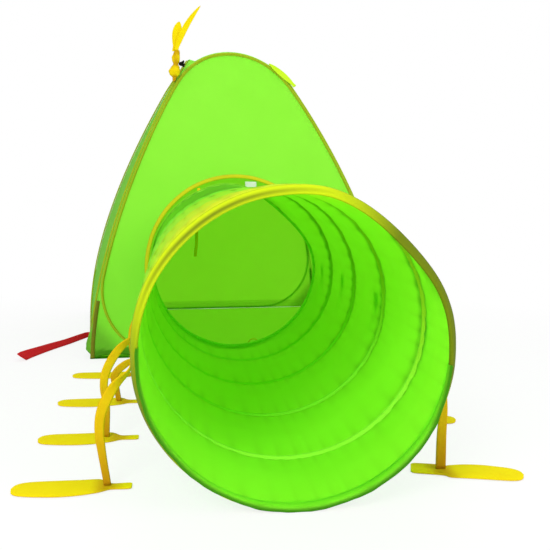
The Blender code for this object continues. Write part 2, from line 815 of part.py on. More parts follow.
def build_legs():
    """Eight legs: a patch sewn to the wall, a strap that hinges on it, and a foot."""
    wall = TUNNEL_R
    for side, way in (("left", -1), ("right", 1)):
        for number, share in enumerate(LEGS_ALONG[side]):
            y = MOUTH_Y + TUNNEL_LENGTH * share
            hinge_z = axis_z(y) + PATCH_HEIGHT * 0.2
            name = f"leg_{side}_{number + 1}"
            turn = (0, 0, 0 if way > 0 else math.pi)
            face_x = TUNNEL_SIDE + way * (wall + GAP)
            patch = bmesh.new()
            box(patch, (0, -PATCH_WIDTH / 2, -PATCH_HEIGHT / 2),
                (PATCH_THICKNESS, PATCH_WIDTH / 2, PATCH_HEIGHT / 2))
            add_object(f"{name}_patch", patch, yellow_material(),
                       location=(face_x, y, hinge_z), rotation=turn)
            hinge_x = face_x + way * (PATCH_THICKNESS + GAP)
            hinge = empty(f"{name}_hinge", (hinge_x, y, hinge_z), turn)
            drop = hinge_z - FOOT_THICKNESS - GAP
            add_object(f"{name}_strap", strap_mesh(side, drop), yellow_material(), hinge)
            add_object(f"{name}_foot", foot_mesh(side), yellow_material(), hinge,
                       location=(STRAP_FOOT_OUT[side], 0, -hinge_z),
                       rotation=(0, 0, math.radians(FOOT_TURN[side])))


def knot_mesh():
    """Two swollen turns of the tied strip over a short stem."""
    bm = bmesh.new()
    rows = []
    levels = [(-KNOT_MIDDLE_Z, 0.30), (-0.022, 0.42), (-0.012, 1.1), (0.000, 1.3), (0.012, 1.0),
              (KNOT_WAIST_Z, KNOT_WAIST), (0.030, 0.84), (0.041, 0.92), (0.052, 0.62),
              (KNOT_TOP_Z, 0.30)]
    count = 10
    for z, share in levels:
        lean = 0.1 * z
        row = []
        for i in range(count):
            angle = 2 * math.pi * i / count
            row.append(bm.verts.new((lean + KNOT_R * share * math.cos(angle),
                                     KNOT_R * 0.8 * share * math.sin(angle), z)))
        rows.append(row)
    for here, there in zip(rows, rows[1:]):
        for i in range(count):
            k = (i + 1) % count
            bm.faces.new((here[i], here[k], there[k], there[i]))
    bm.faces.new(list(reversed(rows[0])))
    bm.faces.new(rows[-1])
    return bm


def tuft_mesh():
    """A frayed knot end: a small core with stiff spikes on the side away from the knot."""
    bm = bmesh.new()
    core = bmesh.ops.create_icosphere(bm, subdivisions=1, radius=TUFT_R)
    spikes = sorted(core["verts"], key=lambda v: (round(v.co.x, 4), round(v.co.z, 4)))
    for i, vert in enumerate(spikes):
        if i % 2 and vert.co.x > TUFT_R * 0.4:
            vert.co *= 2.3
    return bm


def build_trimmings(tent):
    corner = seam_half(ARCH_START_Z)
    turned = Matrix.Rotation(TENT_TURN, 3, "Z")
    foot = turned @ Vector((-corner - KNOT_STAND, -corner - KNOT_STAND, ARCH_START_Z))
    left = empty("left_antenna_hinge", foot)
    add_object("antenna_knot", knot_mesh(), yellow_material(), left,
               location=(0, 0, KNOT_MIDDLE_Z))
    top = KNOT_MIDDLE_Z + KNOT_TOP_Z
    lift = top + LONG_BLADE_HALF / 2 * math.sin(LONG_BLADE_LEAN) + GAP
    add_object("left_antenna_long",
               blade_mesh(LONG_BLADE, LONG_BLADE_HALF, 0.5, LONG_BLADE_BEND, 0.2),
               yellow_material(), left, location=(0.003, -0.003, lift),
               rotation=(0, LONG_BLADE_LEAN, 0))
    add_object("left_antenna_short",
               blade_mesh(SHORT_BLADE, SHORT_BLADE_HALF, 0.4, SHORT_BLADE_BEND, 0.5),
               yellow_material(), left, location=(-0.003, 0.0036, top + GAP * 3),
               rotation=(0, SHORT_BLADE_LEAN, 0))
    beside = KNOT_R * TUFT_BESIDE
    add_object("black_tuft", tuft_mesh(), black_material(), left,
               location=(beside, 0, KNOT_MIDDLE_Z + KNOT_WAIST_Z))
    base = turned @ Vector((corner + RIGHT_BLADE_OUT, -corner - RIGHT_BLADE_STAND,
                            ARCH_START_Z - RIGHT_BLADE_DROP))
    lean = math.atan(seam_slope(ARCH_START_Z))
    right = empty("right_antenna_hinge", base, (-lean, 0, TENT_TURN))
    add_object("right_antenna",
               blade_mesh(RIGHT_BLADE, RIGHT_BLADE_HALF, 0.6, RIGHT_BLADE_BEND, 0.3),
               yellow_material(), right, rotation=(0, RIGHT_BLADE_LEAN, 0))

    # Red strap, sewn low on the left wall, lying out to the floor
    bm = bmesh.new()
    start_z = RED_STRAP_Z
    hinge_z = start_z + STRAP_THICKNESS / 2
    lying_z = STRAP_THICKNESS * 0.92
    shares = [(0, 0, start_z), (0.07, 0.01, start_z * 0.97), (0.18, 0.11, start_z * 0.66),
              (0.38, 0.32, lying_z * 1.8), (0.59, 0.52, lying_z), (0.80, 0.74, lying_z),
              (0.94, 0.90, lying_z * 1.3), (1, 1, start_z)]
    knots = [(x * RED_STRAP_OUT, y * RED_STRAP_AHEAD, z - hinge_z) for x, y, z in shares]
    points = smooth_path(knots, 14)
    ahead = tangents(points)
    ups = []
    sides = []
    for a in ahead:
        side = Vector((0, 0, 1)).cross(a).normalized()
        sides.append(side)
        ups.append(a.cross(side))
    widths = [0.5, 0.48, 0.46, 0.46, 0.48, 0.52, 0.56, 0.62, 0.7, 0.78, 0.88, 0.96, 1.0, 0.95, 0.6]
    w = RED_STRAP_HALF
    t = STRAP_THICKNESS / 2
    sweep(bm, points, sides, ups, [(-w, -t), (w, -t), (w, t), (-w, t)], False, widths)
    at = turned @ Vector((-seam_half(start_z) - RED_STRAP_STAND, -RED_STRAP_FROM, hinge_z))
    red = empty("red_strap_hinge", at, (0, 0, TENT_TURN + math.pi))
    add_object("red_strap", bm, red_material(), red)

    # Tie ribbon, bow and tag at the doorway
    angle = RIBBON_ANGLE
    x, z = door_point(angle, DOOR_R - BINDING_PROUD - GAP * 3)
    top = on_panel(to_panel(x, z), z, -CLOTH / 2)
    bm = bmesh.new()
    slant = 0.010
    lower = Vector((-slant, 0, -RIBBON_DROP))
    upper = Vector((0, 0, -RIBBON_WIDTH / 2 * abs(math.cos(angle) / math.sin(angle)) - GAP * 6))
    points = [upper.lerp(lower, i / 6) for i in range(7)]
    w = RIBBON_WIDTH / 2
    t = RIBBON_THICKNESS / 2
    sweep(bm, points, [Vector((1, 0, 0))] * 7, [Vector((0, 1, 0))] * 7,
          [(-w, -t), (w, -t), (w, t), (-w, t)], closed=False)
    add_object("tie_ribbon", bm, yellow_material(), tent, location=top)

    bm = bmesh.new()
    points = []
    ups = []
    for i in range(13):
        a = math.pi * i / 12
        up = Vector((math.cos(a), 0, math.sin(a)))
        ups.append(up)
        points.append(up * BOW_R + Vector((0, 0, BOW_R * 0.6)))
    points = [Vector((BOW_R, 0, 0))] + points + [Vector((-BOW_R, 0, 0))]
    ups = [Vector((1, 0, 0))] + ups + [Vector((-1, 0, 0))]
    sweep(bm, points, [Vector((0, 1, 0))] * len(points), ups,
          [(-0.004, -t), (0.004, -t), (0.004, t), (-0.004, t)], closed=False)
    rear_y = TUNNEL_REAR_Y + 0.012
    add_object("tie_bow", bm, yellow_material(),
               location=(TUNNEL_SIDE + 0.060, rear_y, CLOTH + GAP))

    x, z = door_point(TAG_ANGLE, DOOR_R - BINDING_PROUD - GAP * 2)
    sag = TAG_SAG + TAG_WIDTH / 2 / math.tan(TAG_ANGLE)
    bm = bmesh.new()
    box(bm, (-TAG_WIDTH / 2, -TAG_THICKNESS / 2, -TAG_DROP),
        (TAG_WIDTH / 2, TAG_THICKNESS / 2, -sag))
    add_object("blank_tag", bm, tag_material(), tent,
               location=on_panel(to_panel(x, z), z, -CLOTH / 2))


def main():
    clear_scene()
    tent = build_tent()
    build_tunnel()
    build_legs()
    build_trimmings(tent)
    print(f"tent: {2 * BASE_HALF:.3f} m square, {TENT_TOP_Z:.3f} m to the top of the arches")
    print(f"sill {SILL_Z:.4f} m, doorway centre {DOOR_Z:.4f} m")


main()
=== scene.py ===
# %% [markdown]
# # Play tent with a spring tunnel
# The tent is four cloth walls, each held open by a loop of spring wire in a sewn sleeve.
# The tunnel is a cloth tube on a wire coil. The solids come from the frame. Here each
# cloth piece is remade as cloth: thin, slack between its wires and gathered at its seams.

# %% Load the frame
from math import (asin, atan, atan2, copysign, cos, degrees, exp, floor, hypot, pi, radians,
                  sin, sqrt, tan)

import bpy
from mathutils import Matrix, Vector, noise


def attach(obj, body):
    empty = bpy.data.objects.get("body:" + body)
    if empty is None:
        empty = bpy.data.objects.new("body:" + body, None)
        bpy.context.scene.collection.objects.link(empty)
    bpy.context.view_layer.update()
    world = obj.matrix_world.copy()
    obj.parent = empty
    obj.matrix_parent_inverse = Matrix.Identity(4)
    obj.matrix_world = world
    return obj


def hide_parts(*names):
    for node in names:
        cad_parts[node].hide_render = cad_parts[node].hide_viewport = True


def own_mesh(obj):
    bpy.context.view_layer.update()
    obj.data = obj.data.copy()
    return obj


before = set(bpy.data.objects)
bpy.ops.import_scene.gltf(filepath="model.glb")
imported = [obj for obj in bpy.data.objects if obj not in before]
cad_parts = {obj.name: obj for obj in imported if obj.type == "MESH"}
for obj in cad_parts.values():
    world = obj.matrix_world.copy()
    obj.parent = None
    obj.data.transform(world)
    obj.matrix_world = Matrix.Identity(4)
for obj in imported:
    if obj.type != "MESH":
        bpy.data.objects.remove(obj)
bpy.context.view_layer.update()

# %% [markdown]
# ## The camera
# It stands low in front of the tunnel's mouth, a little to the left, turned right and
# tilted down. These values come from rings and seams that are straight or round for sure.

# %% Camera
CAMERA_AT = (-0.1726, -2.6979, 0.4685)
CAMERA_TURN = radians(-7.3642)
CAMERA_DOWN = radians(6.0107)
CAMERA_ROLL = radians(0.6469)
LENS = 51.95


def deselect():
    bpy.ops.object.select_all(action="DESELECT")


deselect()
bpy.ops.object.camera_add(location=CAMERA_AT)
camera = bpy.context.object
camera.name = "photo_camera"
turn = Matrix.Rotation(CAMERA_TURN, 4, "Z") @ Matrix.Rotation(pi / 2 - CAMERA_DOWN, 4, "X")
camera.matrix_world = Matrix.Translation(CAMERA_AT) @ turn @ Matrix.Rotation(CAMERA_ROLL, 4, "Z")
camera.data.lens = LENS
camera.data.sensor_width = 36
bpy.context.scene.camera = camera
print("camera lens", LENS, "mm")

# %% [markdown]
# ## Sizes
# They repeat the solids' own sizes, so that each cloth piece lies where its solid is.

# %% Sizes of the tent
BASE_HALF = 0.4434
SEAM_DRAW = 0.382
SEAM_POWER = 1.70
ARCH_START_Z = 0.800
TENT_TURN = radians(5.6)
ROOF_MIDDLE_Z = 0.878
ARCH_TOP_Z = 0.907
SIDE_ARCH_DROP = 0.012
LOOP_CORNER_R = 0.18
LOOP_BOTTOM = 0.0058
SLEEVE_WIDTH = 0.009
ARCH_SLEEVE_WIDTH = 0.013
SILL_SLEEVE_WIDTH = 0.008
SLEEVE_STAND = 0.0015
CLOTH = 0.0006
WIRE_R = 0.00135
DOOR_R = 0.258
DOOR_SIDE = 0.008
print("tent", 2 * BASE_HALF, "m square, doorway", 2 * DOOR_R, "m wide")

# %% Sizes of the tunnel
TUNNEL_R = 0.240
TUNNEL_LENGTH = 1.21
TUNNEL_SLOPE = radians(0.55)
TUNNEL_SIDE = 0.0065
TUNNEL_REAR_Y = -0.3787
MOUTH_Y = TUNNEL_REAR_Y - TUNNEL_LENGTH * cos(TUNNEL_SLOPE)
AXIS_DROP = TUNNEL_R * cos(TUNNEL_SLOPE)
COIL_PITCH = 0.26
COIL_RIGHT_AT = 0.165
TUNNEL_PLACE = Matrix.Translation((TUNNEL_SIDE, MOUTH_Y, AXIS_DROP)) @ Matrix.Rotation(
    TUNNEL_SLOPE, 4, "X")

# %% [markdown]
# ## Materials
# The cloth is nylon taffeta: a fine plain weave, dyed through, thin enough to glow where
# light comes from behind. A plain colour would look like plastic, so it is a diffuse and
# soft-sheened surface with a woven bump and a share of light let through. Its thread is
# 0.2 mm, too fine to show, so the weave is drawn at 1 mm. Tapes, felt and webbing are made
# the same way, drawn at 1 to 4 mm, and let no light through.

# %% Colours and nodes
def srgb(text):
    """A hex colour as linear red, green, blue and alpha."""
    parts = [int(text[i:i + 2], 16) / 255 for i in (1, 3, 5)]
    return tuple(c / 12.92 if c <= 0.04045 else ((c + 0.055) / 1.055) ** 2.4
                 for c in parts) + (1.0,)


def add(tree, kind, settings=None, **inputs):
    """Add a node, set its properties, and set or link its inputs by name."""
    made = tree.nodes.new(kind)
    for name, value in (settings or {}).items():
        setattr(made, name, value)
    for name, value in inputs.items():
        socket = made.inputs[int(name[1:])] if name[1:].isdigit() else made.inputs[
            name.replace("_", " ")]
        if isinstance(value, bpy.types.NodeSocket):
            tree.links.new(value, socket)
        else:
            socket.default_value = value
    return made


# %% A woven cloth's material
MIX = {"data_type": "RGBA"}


def cloth_material(name, slot, light, deep, thread, through=0.0, glow=None, doubled_and_shade=None,
                   lit_highlight=None, roughness=0.6, sheen=0.02, patch=9.0, depth=0.25, crease=38.0):
    """Woven cloth: two close shades drifting over it, a weave of the given pitch in metres
    and a share of light let through. A share stored on its points mixes in painted shade,
    with doubled cloth in a hem, and a second share mixes in a painted highlight."""
    made = bpy.data.materials.new(name)
    made.use_nodes = True
    tree = made.node_tree
    shader = tree.nodes["Principled BSDF"]
    place = add(tree, "ShaderNodeTexCoord").outputs["Object"]
    drift = add(tree, "ShaderNodeTexNoise", Vector=place, Scale=patch, Detail=3.0)
    colour = add(tree, "ShaderNodeMix", MIX, _0=drift.outputs["Fac"], _6=srgb(light),
                 _7=srgb(deep)).outputs[2]
    passed = srgb(glow or light)
    for layer, tone in (("lit_highlight", lit_highlight), ("shade_and_layers", doubled_and_shade)):
        if tone:
            share = add(tree, "ShaderNodeAttribute", {"attribute_name": layer}).outputs["Fac"]
            colour = add(tree, "ShaderNodeMix", MIX, _0=share, _6=colour,
                         _7=srgb(tone)).outputs[2]
            if through:
                passed = add(tree, "ShaderNodeMix", MIX, _0=share, _6=passed,
                             _7=srgb(tone)).outputs[2]
    tree.links.new(colour, shader.inputs["Base Color"])
    warp, weft = [add(tree, "ShaderNodeTexWave", {"bands_direction": way}, Vector=place,
                      Scale=pi / 10 / thread).outputs["Fac"] for way in "XZ"]
    weave = add(tree, "ShaderNodeMath", {"operation": "ADD"}, _0=warp, _1=weft)
    slack = add(tree, "ShaderNodeTexNoise", Vector=place, Scale=crease, Detail=4.0)
    rise = add(tree, "ShaderNodeMath", {"operation": "MULTIPLY_ADD"}, _0=slack.outputs["Fac"],
               _1=1.6, _2=weave.outputs["Value"])
    bump = add(tree, "ShaderNodeBump", Height=rise.outputs["Value"], Strength=depth,
               Distance=thread * 0.35)
    tree.links.new(bump.outputs["Normal"], shader.inputs["Normal"])
    for socket, value in (("Roughness", roughness), ("Sheen Weight", sheen),
                          ("Sheen Roughness", 0.4), ("Specular IOR Level", 0.10)):
        shader.inputs[socket].default_value = value
    if through:
        light_through = add(tree, "ShaderNodeBsdfTranslucent", Color=passed)
        mixed = add(tree, "ShaderNodeMixShader", _0=through, _1=shader.outputs["BSDF"],
                    _2=light_through.outputs["BSDF"])
        tree.links.new(mixed.outputs["Shader"],
                       tree.nodes["Material Output"].inputs["Surface"])
    return made


# %% The tent's and the tunnel's materials
TAPE = {"roughness": 0.65, "depth": 0.12}
ROUGH_TAPE = {"roughness": 0.7, "depth": 0.12}
# Nylon taffeta, calendered: smooth and even, and it glows where light comes from behind.
# Its darker tone is painted shade on the walls and the floor sheet, and in the hems also doubled
# cloth.
taffeta = cloth_material("lime_nylon_taffeta", "lime_nylon", "#AEF652", "#A4F048", 0.001,
                         through=0.52, glow="#D6FF76", doubled_and_shade="#4C9D12")
# The tunnel's taffeta is of a deeper green. Its darker tone is painted shade, and its yellow is a
# painted highlight on the crown's left.
tunnel_taffeta = cloth_material("lime_tunnel_taffeta", "lime_nylon", "#98F63A", "#8CEC2C",
                                0.001, through=0.52, glow="#C6FF60", doubled_and_shade="#3F9410",
                                lit_highlight="#F2F01C", patch=14.0)
# Grosgrain tape, woven close with a fine rib: matt, and darker than cloth lit from behind.
gold_tape = cloth_material("yellow_olive_grosgrain_tape", "olive_binding", "#A2B81C",
                           "#8EA414", 0.0030, **TAPE)
door_yellow = cloth_material("yellow_grosgrain_tape", "olive_binding", "#C8CC14", "#BABC0C",
                             0.0030, **TAPE)
# The coil's sleeve is the tunnel's own cloth, gathered double and matt. Its olive tone is painted
# shade, on the tunnel's right.
coil_sleeve = cloth_material("lime_cloth_coil_sleeve", "olive_binding", "#A2F444", "#98EA38",
                             0.0010, doubled_and_shade="#9CC818", **TAPE)
# Tape of a duller, rougher finish, with painted shade: olive on the mouth's sides and fold, and
# brown all over the corner tapes.
mouth_olive = cloth_material("yellow_lime_grosgrain_tape", "olive_binding", "#C6DA10",
                             "#B8CE0A", 0.0012, doubled_and_shade="#667604", **ROUGH_TAPE)
corner_shade_tape = cloth_material("brown_olive_grosgrain_tape", "olive_binding", "#7F7A1E",
                            "#6B6A16", 0.0012, **ROUGH_TAPE)
# Spring steel, drawn and blued: a grey metal that shows only as a shadow in the cloth.
steel = cloth_material("blued_spring_steel", "spring_steel", "#7B7D80", "#6A6C70", 0.0006,
                       roughness=0.35, sheen=0.0, depth=0.1)
steel.node_tree.nodes["Principled BSDF"].inputs["Metallic"].default_value = 1.0
print("materials:", len(bpy.data.materials))

# %% The trim's materials
FELT = {"roughness": 0.9, "sheen": 0.0, "patch": 24.0, "depth": 0.02, "crease": 60.0}
# Polyester felt, needled and not woven: dull and soft, only a little uneven.
# Its darker tone is painted shade: on the feet under the straps and underneath, and in the knot's
# necks.
yellow_felt = cloth_material("yellow_polyester_felt", "yellow_felt", "#EED606", "#E6CA04",
                             0.0040, doubled_and_shade="#BE8E06", **FELT)
lime_felt = cloth_material("yellow_green_felt", "yellow_felt", "#C4EA28", "#B6E01E", 0.0040,
                           **FELT)
# Webbing, woven thick: matt, with threads that are coarse enough to see close by.
# Its darker tone is painted shade, low down on the straps.
yellow_webbing = cloth_material("yellow_polyester_webbing", "yellow_felt", "#E2BE0A",
                                "#CFA408", 0.0016, doubled_and_shade="#B07C06", roughness=0.85,
                                sheen=0.0, patch=30.0, depth=0.10, crease=70.0)
red_webbing = cloth_material("red_woven_webbing", "red_webbing", "#D21E28", "#BE1820", 0.0014,
                             roughness=0.8, sheen=0.0, depth=0.06, crease=60.0)
# Satin ribbon: its long smooth threads give a soft sheen and let some light through.
white_satin = cloth_material("white_satin_ribbon", "white_satin", "#F2F6EC", "#E9EFE2", 0.0008,
                             through=0.35, glow="#FFFFFF", roughness=0.4, sheen=0.3)
# Cotton yarn, cut and frayed: black, rough and without shine.
black_yarn = cloth_material("black_cotton_yarn", "black_cord", "#14170F", "#0B0D08", 0.001,
                            roughness=0.9, depth=0.8)

# %% [markdown]
# ## One way to lay cloth
# Every cloth piece starts as a flat grid, like cloth off the roll. Each of its points is
# then laid in place: round a wire, along a wall or over the floor. A cloth simulation would
# do for a loose sheet, but these are held by wires all round, so their shape is known.

# %% Laying a grid of cloth
def laid(name, across, along, place, thickness=0.0, round_across=False):
    """Add a flat grid and lay each point at place(u, v), u across and v along, 0 to 1.
    One that meets itself across gets its ends capped and its faces turned outwards."""
    deselect()
    bpy.ops.mesh.primitive_grid_add(x_subdivisions=across, y_subdivisions=along, size=1.0)
    piece = bpy.context.object
    piece.name = name
    for vert in piece.data.vertices:
        vert.co = place(vert.co.x + 0.5, vert.co.y + 0.5)
    bpy.ops.object.mode_set(mode="EDIT")
    bpy.ops.mesh.select_all(action="SELECT")
    bpy.ops.mesh.remove_doubles(threshold=0.00002)
    if round_across:
        bpy.ops.mesh.select_all(action="DESELECT")
        bpy.ops.mesh.select_non_manifold()
        bpy.ops.mesh.fill_holes(sides=0)
        bpy.ops.mesh.select_all(action="SELECT")
        bpy.ops.mesh.normals_make_consistent(inside=False)
    bpy.ops.object.mode_set(mode="OBJECT")
    bpy.ops.object.shade_smooth()
    if thickness:
        wall = piece.modifiers.new("thickness", "SOLIDIFY")
        wall.thickness = thickness
        wall.offset = 0.0
        bpy.ops.object.modifier_apply(modifier=wall.name)
    return piece


# %% Shading, measuring and finishing a piece
def lay_painted_tone(piece, share_at, name="shade_and_layers"):
    """Store at each point a share from 0 to 1 of a painted tone: painted shade, with a doubled
    hem, and under its own name a painted highlight.
    """
    shade_and_layers = piece.data.attributes.new(name, "FLOAT", "POINT")
    for vert in piece.data.vertices:
        shade_and_layers.data[vert.index].value = min(max(share_at(vert.co), 0.0), 1.0)


def finish_piece(piece, finish, body, *nodes):
    """Give a piece its material, the body it moves with and the solids it stands for."""
    piece.data.materials.clear()
    piece.data.materials.append(finish)
    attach(piece, body)
    if nodes:
        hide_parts(*nodes)
    print(piece.name, len(piece.data.polygons), "faces")
    return piece


# %% Sweeping a tape along a line
def swept(name, frames, profile, closed=False):
    """A tape: a profile of (side, up) points carried along frames of (point, side, up, width)."""
    steps = len(frames) - (0 if closed else 1)
    rows = len(profile) - 1

    def place(u, v):
        point, side, up, width = frames[round(v * steps) % len(frames)]
        a, b = profile[round(u * rows)]
        return point + side * (a * width) + up * b

    return laid(name, rows, steps, place, round_across=profile[0] == profile[-1])


def ahead_at(points, i, closed=False):
    """The way that a line of points runs at one of them."""
    before = points[i - 1] if closed or i else points[0]
    after = points[(i + 1) % len(points)] if closed or i < len(points) - 1 else points[-1]
    return (after - before).normalized()


def frames_along(points, ups, closed=False, widths=None):
    """Frames for a tape that lies along points with its face towards ups."""
    found = []
    for i, (point, up) in enumerate(zip(points, ups)):
        ahead = ahead_at(points, i, closed)
        side = ahead.cross(up).normalized()
        found.append((point, side, side.cross(ahead), widths[i] if widths else 1.0))
    return found


# %% Even steps, and unevenness
def spaced(points, step):
    """The same open line of vectors, with points at even steps along it."""
    runs = [0.0]
    for here, there in zip(points, points[1:]):
        runs.append(runs[-1] + (there - here).length)
    count = max(int(round(runs[-1] / step)), 2)
    found = []
    k = 0
    for i in range(count + 1):
        want = runs[-1] * i / count
        while k < len(points) - 2 and runs[k + 1] < want:
            k += 1
        share = (want - runs[k]) / max(runs[k + 1] - runs[k], 1e-9)
        found.append(points[k].lerp(points[k + 1], min(share, 1.0)))
    return found


def ripple(x, y, z, scale, seed=0.0):
    """Smooth unevenness between -1 and 1, the same on every run."""
    return noise.noise(Vector((x * scale + seed, y * scale, z * scale)))


# %% [markdown]
# ## The tent's walls
# Each wall is one sheet, straight across and curved upwards, wide at the floor and round
# at the top. Its spring loop stretches it, so it is smooth inside the loop and slack in
# the gussets outside. Two near-flat layers of cloth meet at each corner seam. A plane could
# be bent into it by hand, but laid by the solid's own curve it fits its loop everywhere.

# %% The wall's outline
def half_width(z):
    """Half the tent's width at height z."""
    if z >= ARCH_START_Z:
        return half_width(ARCH_START_Z - 1e-9) - (z - ARCH_START_Z) * seam_slope(z)
    return BASE_HALF - SEAM_DRAW * max(z, 0.0) ** SEAM_POWER


def seam_slope(z):
    return SEAM_DRAW * SEAM_POWER * min(max(z, 0.0), ARCH_START_Z) ** (SEAM_POWER - 1)


ARCH_SLOPE = seam_slope(ARCH_START_Z)
ARCH_CENTRE_Z = ARCH_START_Z - half_width(ARCH_START_Z) * ARCH_SLOPE
ARCH_R = half_width(ARCH_START_Z) * hypot(1, ARCH_SLOPE)
ARCH_HALF_ANGLE = atan2(1, ARCH_SLOPE)
print("the arch is", round(2 * degrees(ARCH_HALF_ANGLE), 1), "degrees of a circle")


# %% Places on a wall
def wall_normal(z):
    return Vector((0, -1, seam_slope(z))).normalized()


def turned_to(wall):
    """The turn from the front wall's own axes to a wall's side of the tent."""
    return Matrix.Rotation(TENT_TURN + wall * pi / 2, 3, "Z")


def smooth_step(value, low, high):
    """0 below low, 1 above high, and a soft rise between them."""
    share = min(max((value - low) / (high - low), 0.0), 1.0)
    return share * share * (3 - 2 * share)


def side_drop(z, wall):
    """The side arches hang a little lower than the front and back ones."""
    return SIDE_ARCH_DROP * smooth_step(z, ARCH_START_Z, ARCH_TOP_Z) * (wall % 2)


def on_wall(x, z, off=0.0, wall=0):
    """A point of a wall, counted from the front to the right, moved out along its normal."""
    point = Vector((x, -half_width(z), z)) + wall_normal(z) * off
    point.z -= side_drop(z, wall)
    return turned_to(wall) @ point


def wall_up(z, wall=0):
    return turned_to(wall) @ wall_normal(z)


def edge_x(z):
    """Half the width of a wall's cloth at height z."""
    if z <= ARCH_START_Z:
        return half_width(z) - 0.001
    return sqrt(max((ARCH_R - 0.001) ** 2 - (z - ARCH_CENTRE_Z) ** 2, 0.0))


TOP_Z = ARCH_CENTRE_Z + ARCH_R - 0.001
WALLS = ("front", "right", "back", "left")
print("arch top at", round(TOP_Z, 3), "m")

# %% The hem, the gussets and the slack
HEM_Z = 0.028
HEM_ROWS = 0.05
GUSSET_REACH = 0.045


def wall_height(v):
    """Heights of the rows: close together at the hem and round the arch."""
    if v < 0.125:
        return 0.002 + (HEM_ROWS - 0.002) * v / 0.125
    return HEM_ROWS + (TOP_Z - HEM_ROWS) * (1 - (1 - (v - 0.125) / 0.875) ** 1.6)


def outside_loop(x, z):
    """0 inside the loop's big lower bend, 1 well out in the corner gusset."""
    middle = half_width(LOOP_CORNER_R) - LOOP_CORNER_R - 0.006
    if abs(x) < middle or z > LOOP_CORNER_R:
        return 0.0
    over = hypot(abs(x) - middle, z - LOOP_BOTTOM - LOOP_CORNER_R) - LOOP_CORNER_R
    return smooth_step(over, 0.002, GUSSET_REACH)


# %% A wall's cloth, and its painted shade
def wall_place(wall):
    def place(u, v):
        z = wall_height(v)
        reach = edge_x(z)
        x = reach * (2 * u - 1)
        inside = max(0.0, 1 - abs(2 * u - 1) ** 6) * min(1.0, z / 0.06)
        slack = 0.0012 * ripple(x, z, wall, 9.0, 3.1) + 0.0010 * ripple(x, z, wall, 22.0)
        slack += 0.0005 * ripple(x * 0.6, z, wall, 60.0, 1.7)
        belly = -0.003 * sin(pi * min(z / 0.9, 1.0)) * cos(pi * (u - 0.5))
        taut = min((reach - abs(x)) / 0.035, 1.0)
        held = taut * smooth_step(z, 0.002, 0.02)
        gusset = outside_loop(x, z) * held * (0.016 if wall == 3 and x > 0 else 0.005)
        gusset += 0.003 * outside_loop(x, z) * held * ripple(x, z, wall, 30.0)
        hem = -0.0012 * exp(-((z - HEM_Z) / 0.003) ** 2) * held
        if wall == 0:
            z += 0.008 * smooth_step(-x, 0.25, 0.38) * (1 - smooth_step(z, 0.03, 0.12)) * taut
        return on_wall(x, z, -0.0008 + (slack + belly) * inside + gusset + hem, wall)
    return place


def wall_shade_and_hem(wall):
    """Painted shade: in the gussets, darkest low down, over all of the left wall, and below the
    hem, darkest on the front wall. A dark line runs along the hem's seam, partly painted shade in
    its fold and partly the doubled cloth.
    """
    back = Matrix.Rotation(-TENT_TURN - wall * pi / 2, 3, "Z")

    def share_at(point):
        spot = back @ point
        gusset = 0.45 * outside_loop(spot.x, spot.z) * (1 - smooth_step(spot.z, 0.05, 0.16))
        gusset = max(gusset, 0.25 * outside_loop(spot.x, spot.z))
        seam = (0.65 if wall in (0, 3) else 0.25) * exp(-((spot.z - HEM_Z) / 0.003) ** 2)
        below_hem_shade = (0.80 if wall == 0 else 0.20) * (1 - smooth_step(spot.z, HEM_Z - 0.004, HEM_Z))
        return max(gusset, seam, below_hem_shade, 0.28 if wall == 3 else 0.0)
    return share_at


# %% Cut the four walls
walls = {}
for number, wall in enumerate(WALLS):
    walls[wall] = laid(f"{wall}_wall_cloth", 64, 96, wall_place(number), CLOTH)

# %% The doorway's place
def axis_z(y):
    """Height of the tunnel's axis over the floor."""
    return AXIS_DROP + (y - MOUTH_Y) * tan(TUNNEL_SLOPE)


DOOR_Z = axis_z(-half_width(TUNNEL_R))
SILL_Z = 0.0104
print("doorway's centre", round(DOOR_Z, 4), "m over the floor")


def door_point(angle, radius, off=0.0):
    """A point of the doorway's edge on the front wall, seen along the tunnel's axis."""
    x = TUNNEL_SIDE + DOOR_SIDE + radius * cos(angle)
    z = DOOR_Z + radius * sin(angle)
    sine, cosine = sin(TENT_TURN), cos(TENT_TURN)
    return on_wall((x - half_width(z) * sine) / cosine, z, off), wall_up(z)


# %% Cut the doorway out of the front wall
deselect()
bpy.ops.mesh.primitive_cylinder_add(vertices=128, radius=DOOR_R - 0.0005, depth=0.5,
                                    location=(TUNNEL_SIDE + DOOR_SIDE, -0.42, DOOR_Z),
                                    rotation=(pi / 2, 0, 0))
cutter = bpy.context.object
bpy.ops.object.mode_set(mode="EDIT")
bpy.ops.mesh.select_all(action="SELECT")
bpy.ops.mesh.bisect(plane_co=(0, 0, SILL_Z), plane_no=(0, 0, -1), clear_outer=True,
                    use_fill=True)
bpy.ops.object.mode_set(mode="OBJECT")
deselect()
bpy.context.view_layer.objects.active = walls["front"]
walls["front"].select_set(True)
cut = walls["front"].modifiers.new("doorway", "BOOLEAN")
cut.object = cutter
cut.solver = "EXACT"
bpy.ops.object.modifier_apply(modifier=cut.name)
bpy.data.objects.remove(cutter)
for number, wall in enumerate(WALLS):
    lay_painted_tone(walls[wall], wall_shade_and_hem(number))
    piece = finish_piece(walls[wall], taffeta, "tent", f"{wall}_panel")

# %% [markdown]
# ## Loop sleeves
# A sleeve is a bias-cut tape folded over the wire and sewn along both edges. Bias tape
# gathers as it goes round a bend, so its crown is ribbed with small puckers.
# A pipe would look smooth and hard, so a profile of the folded tape is swept instead.

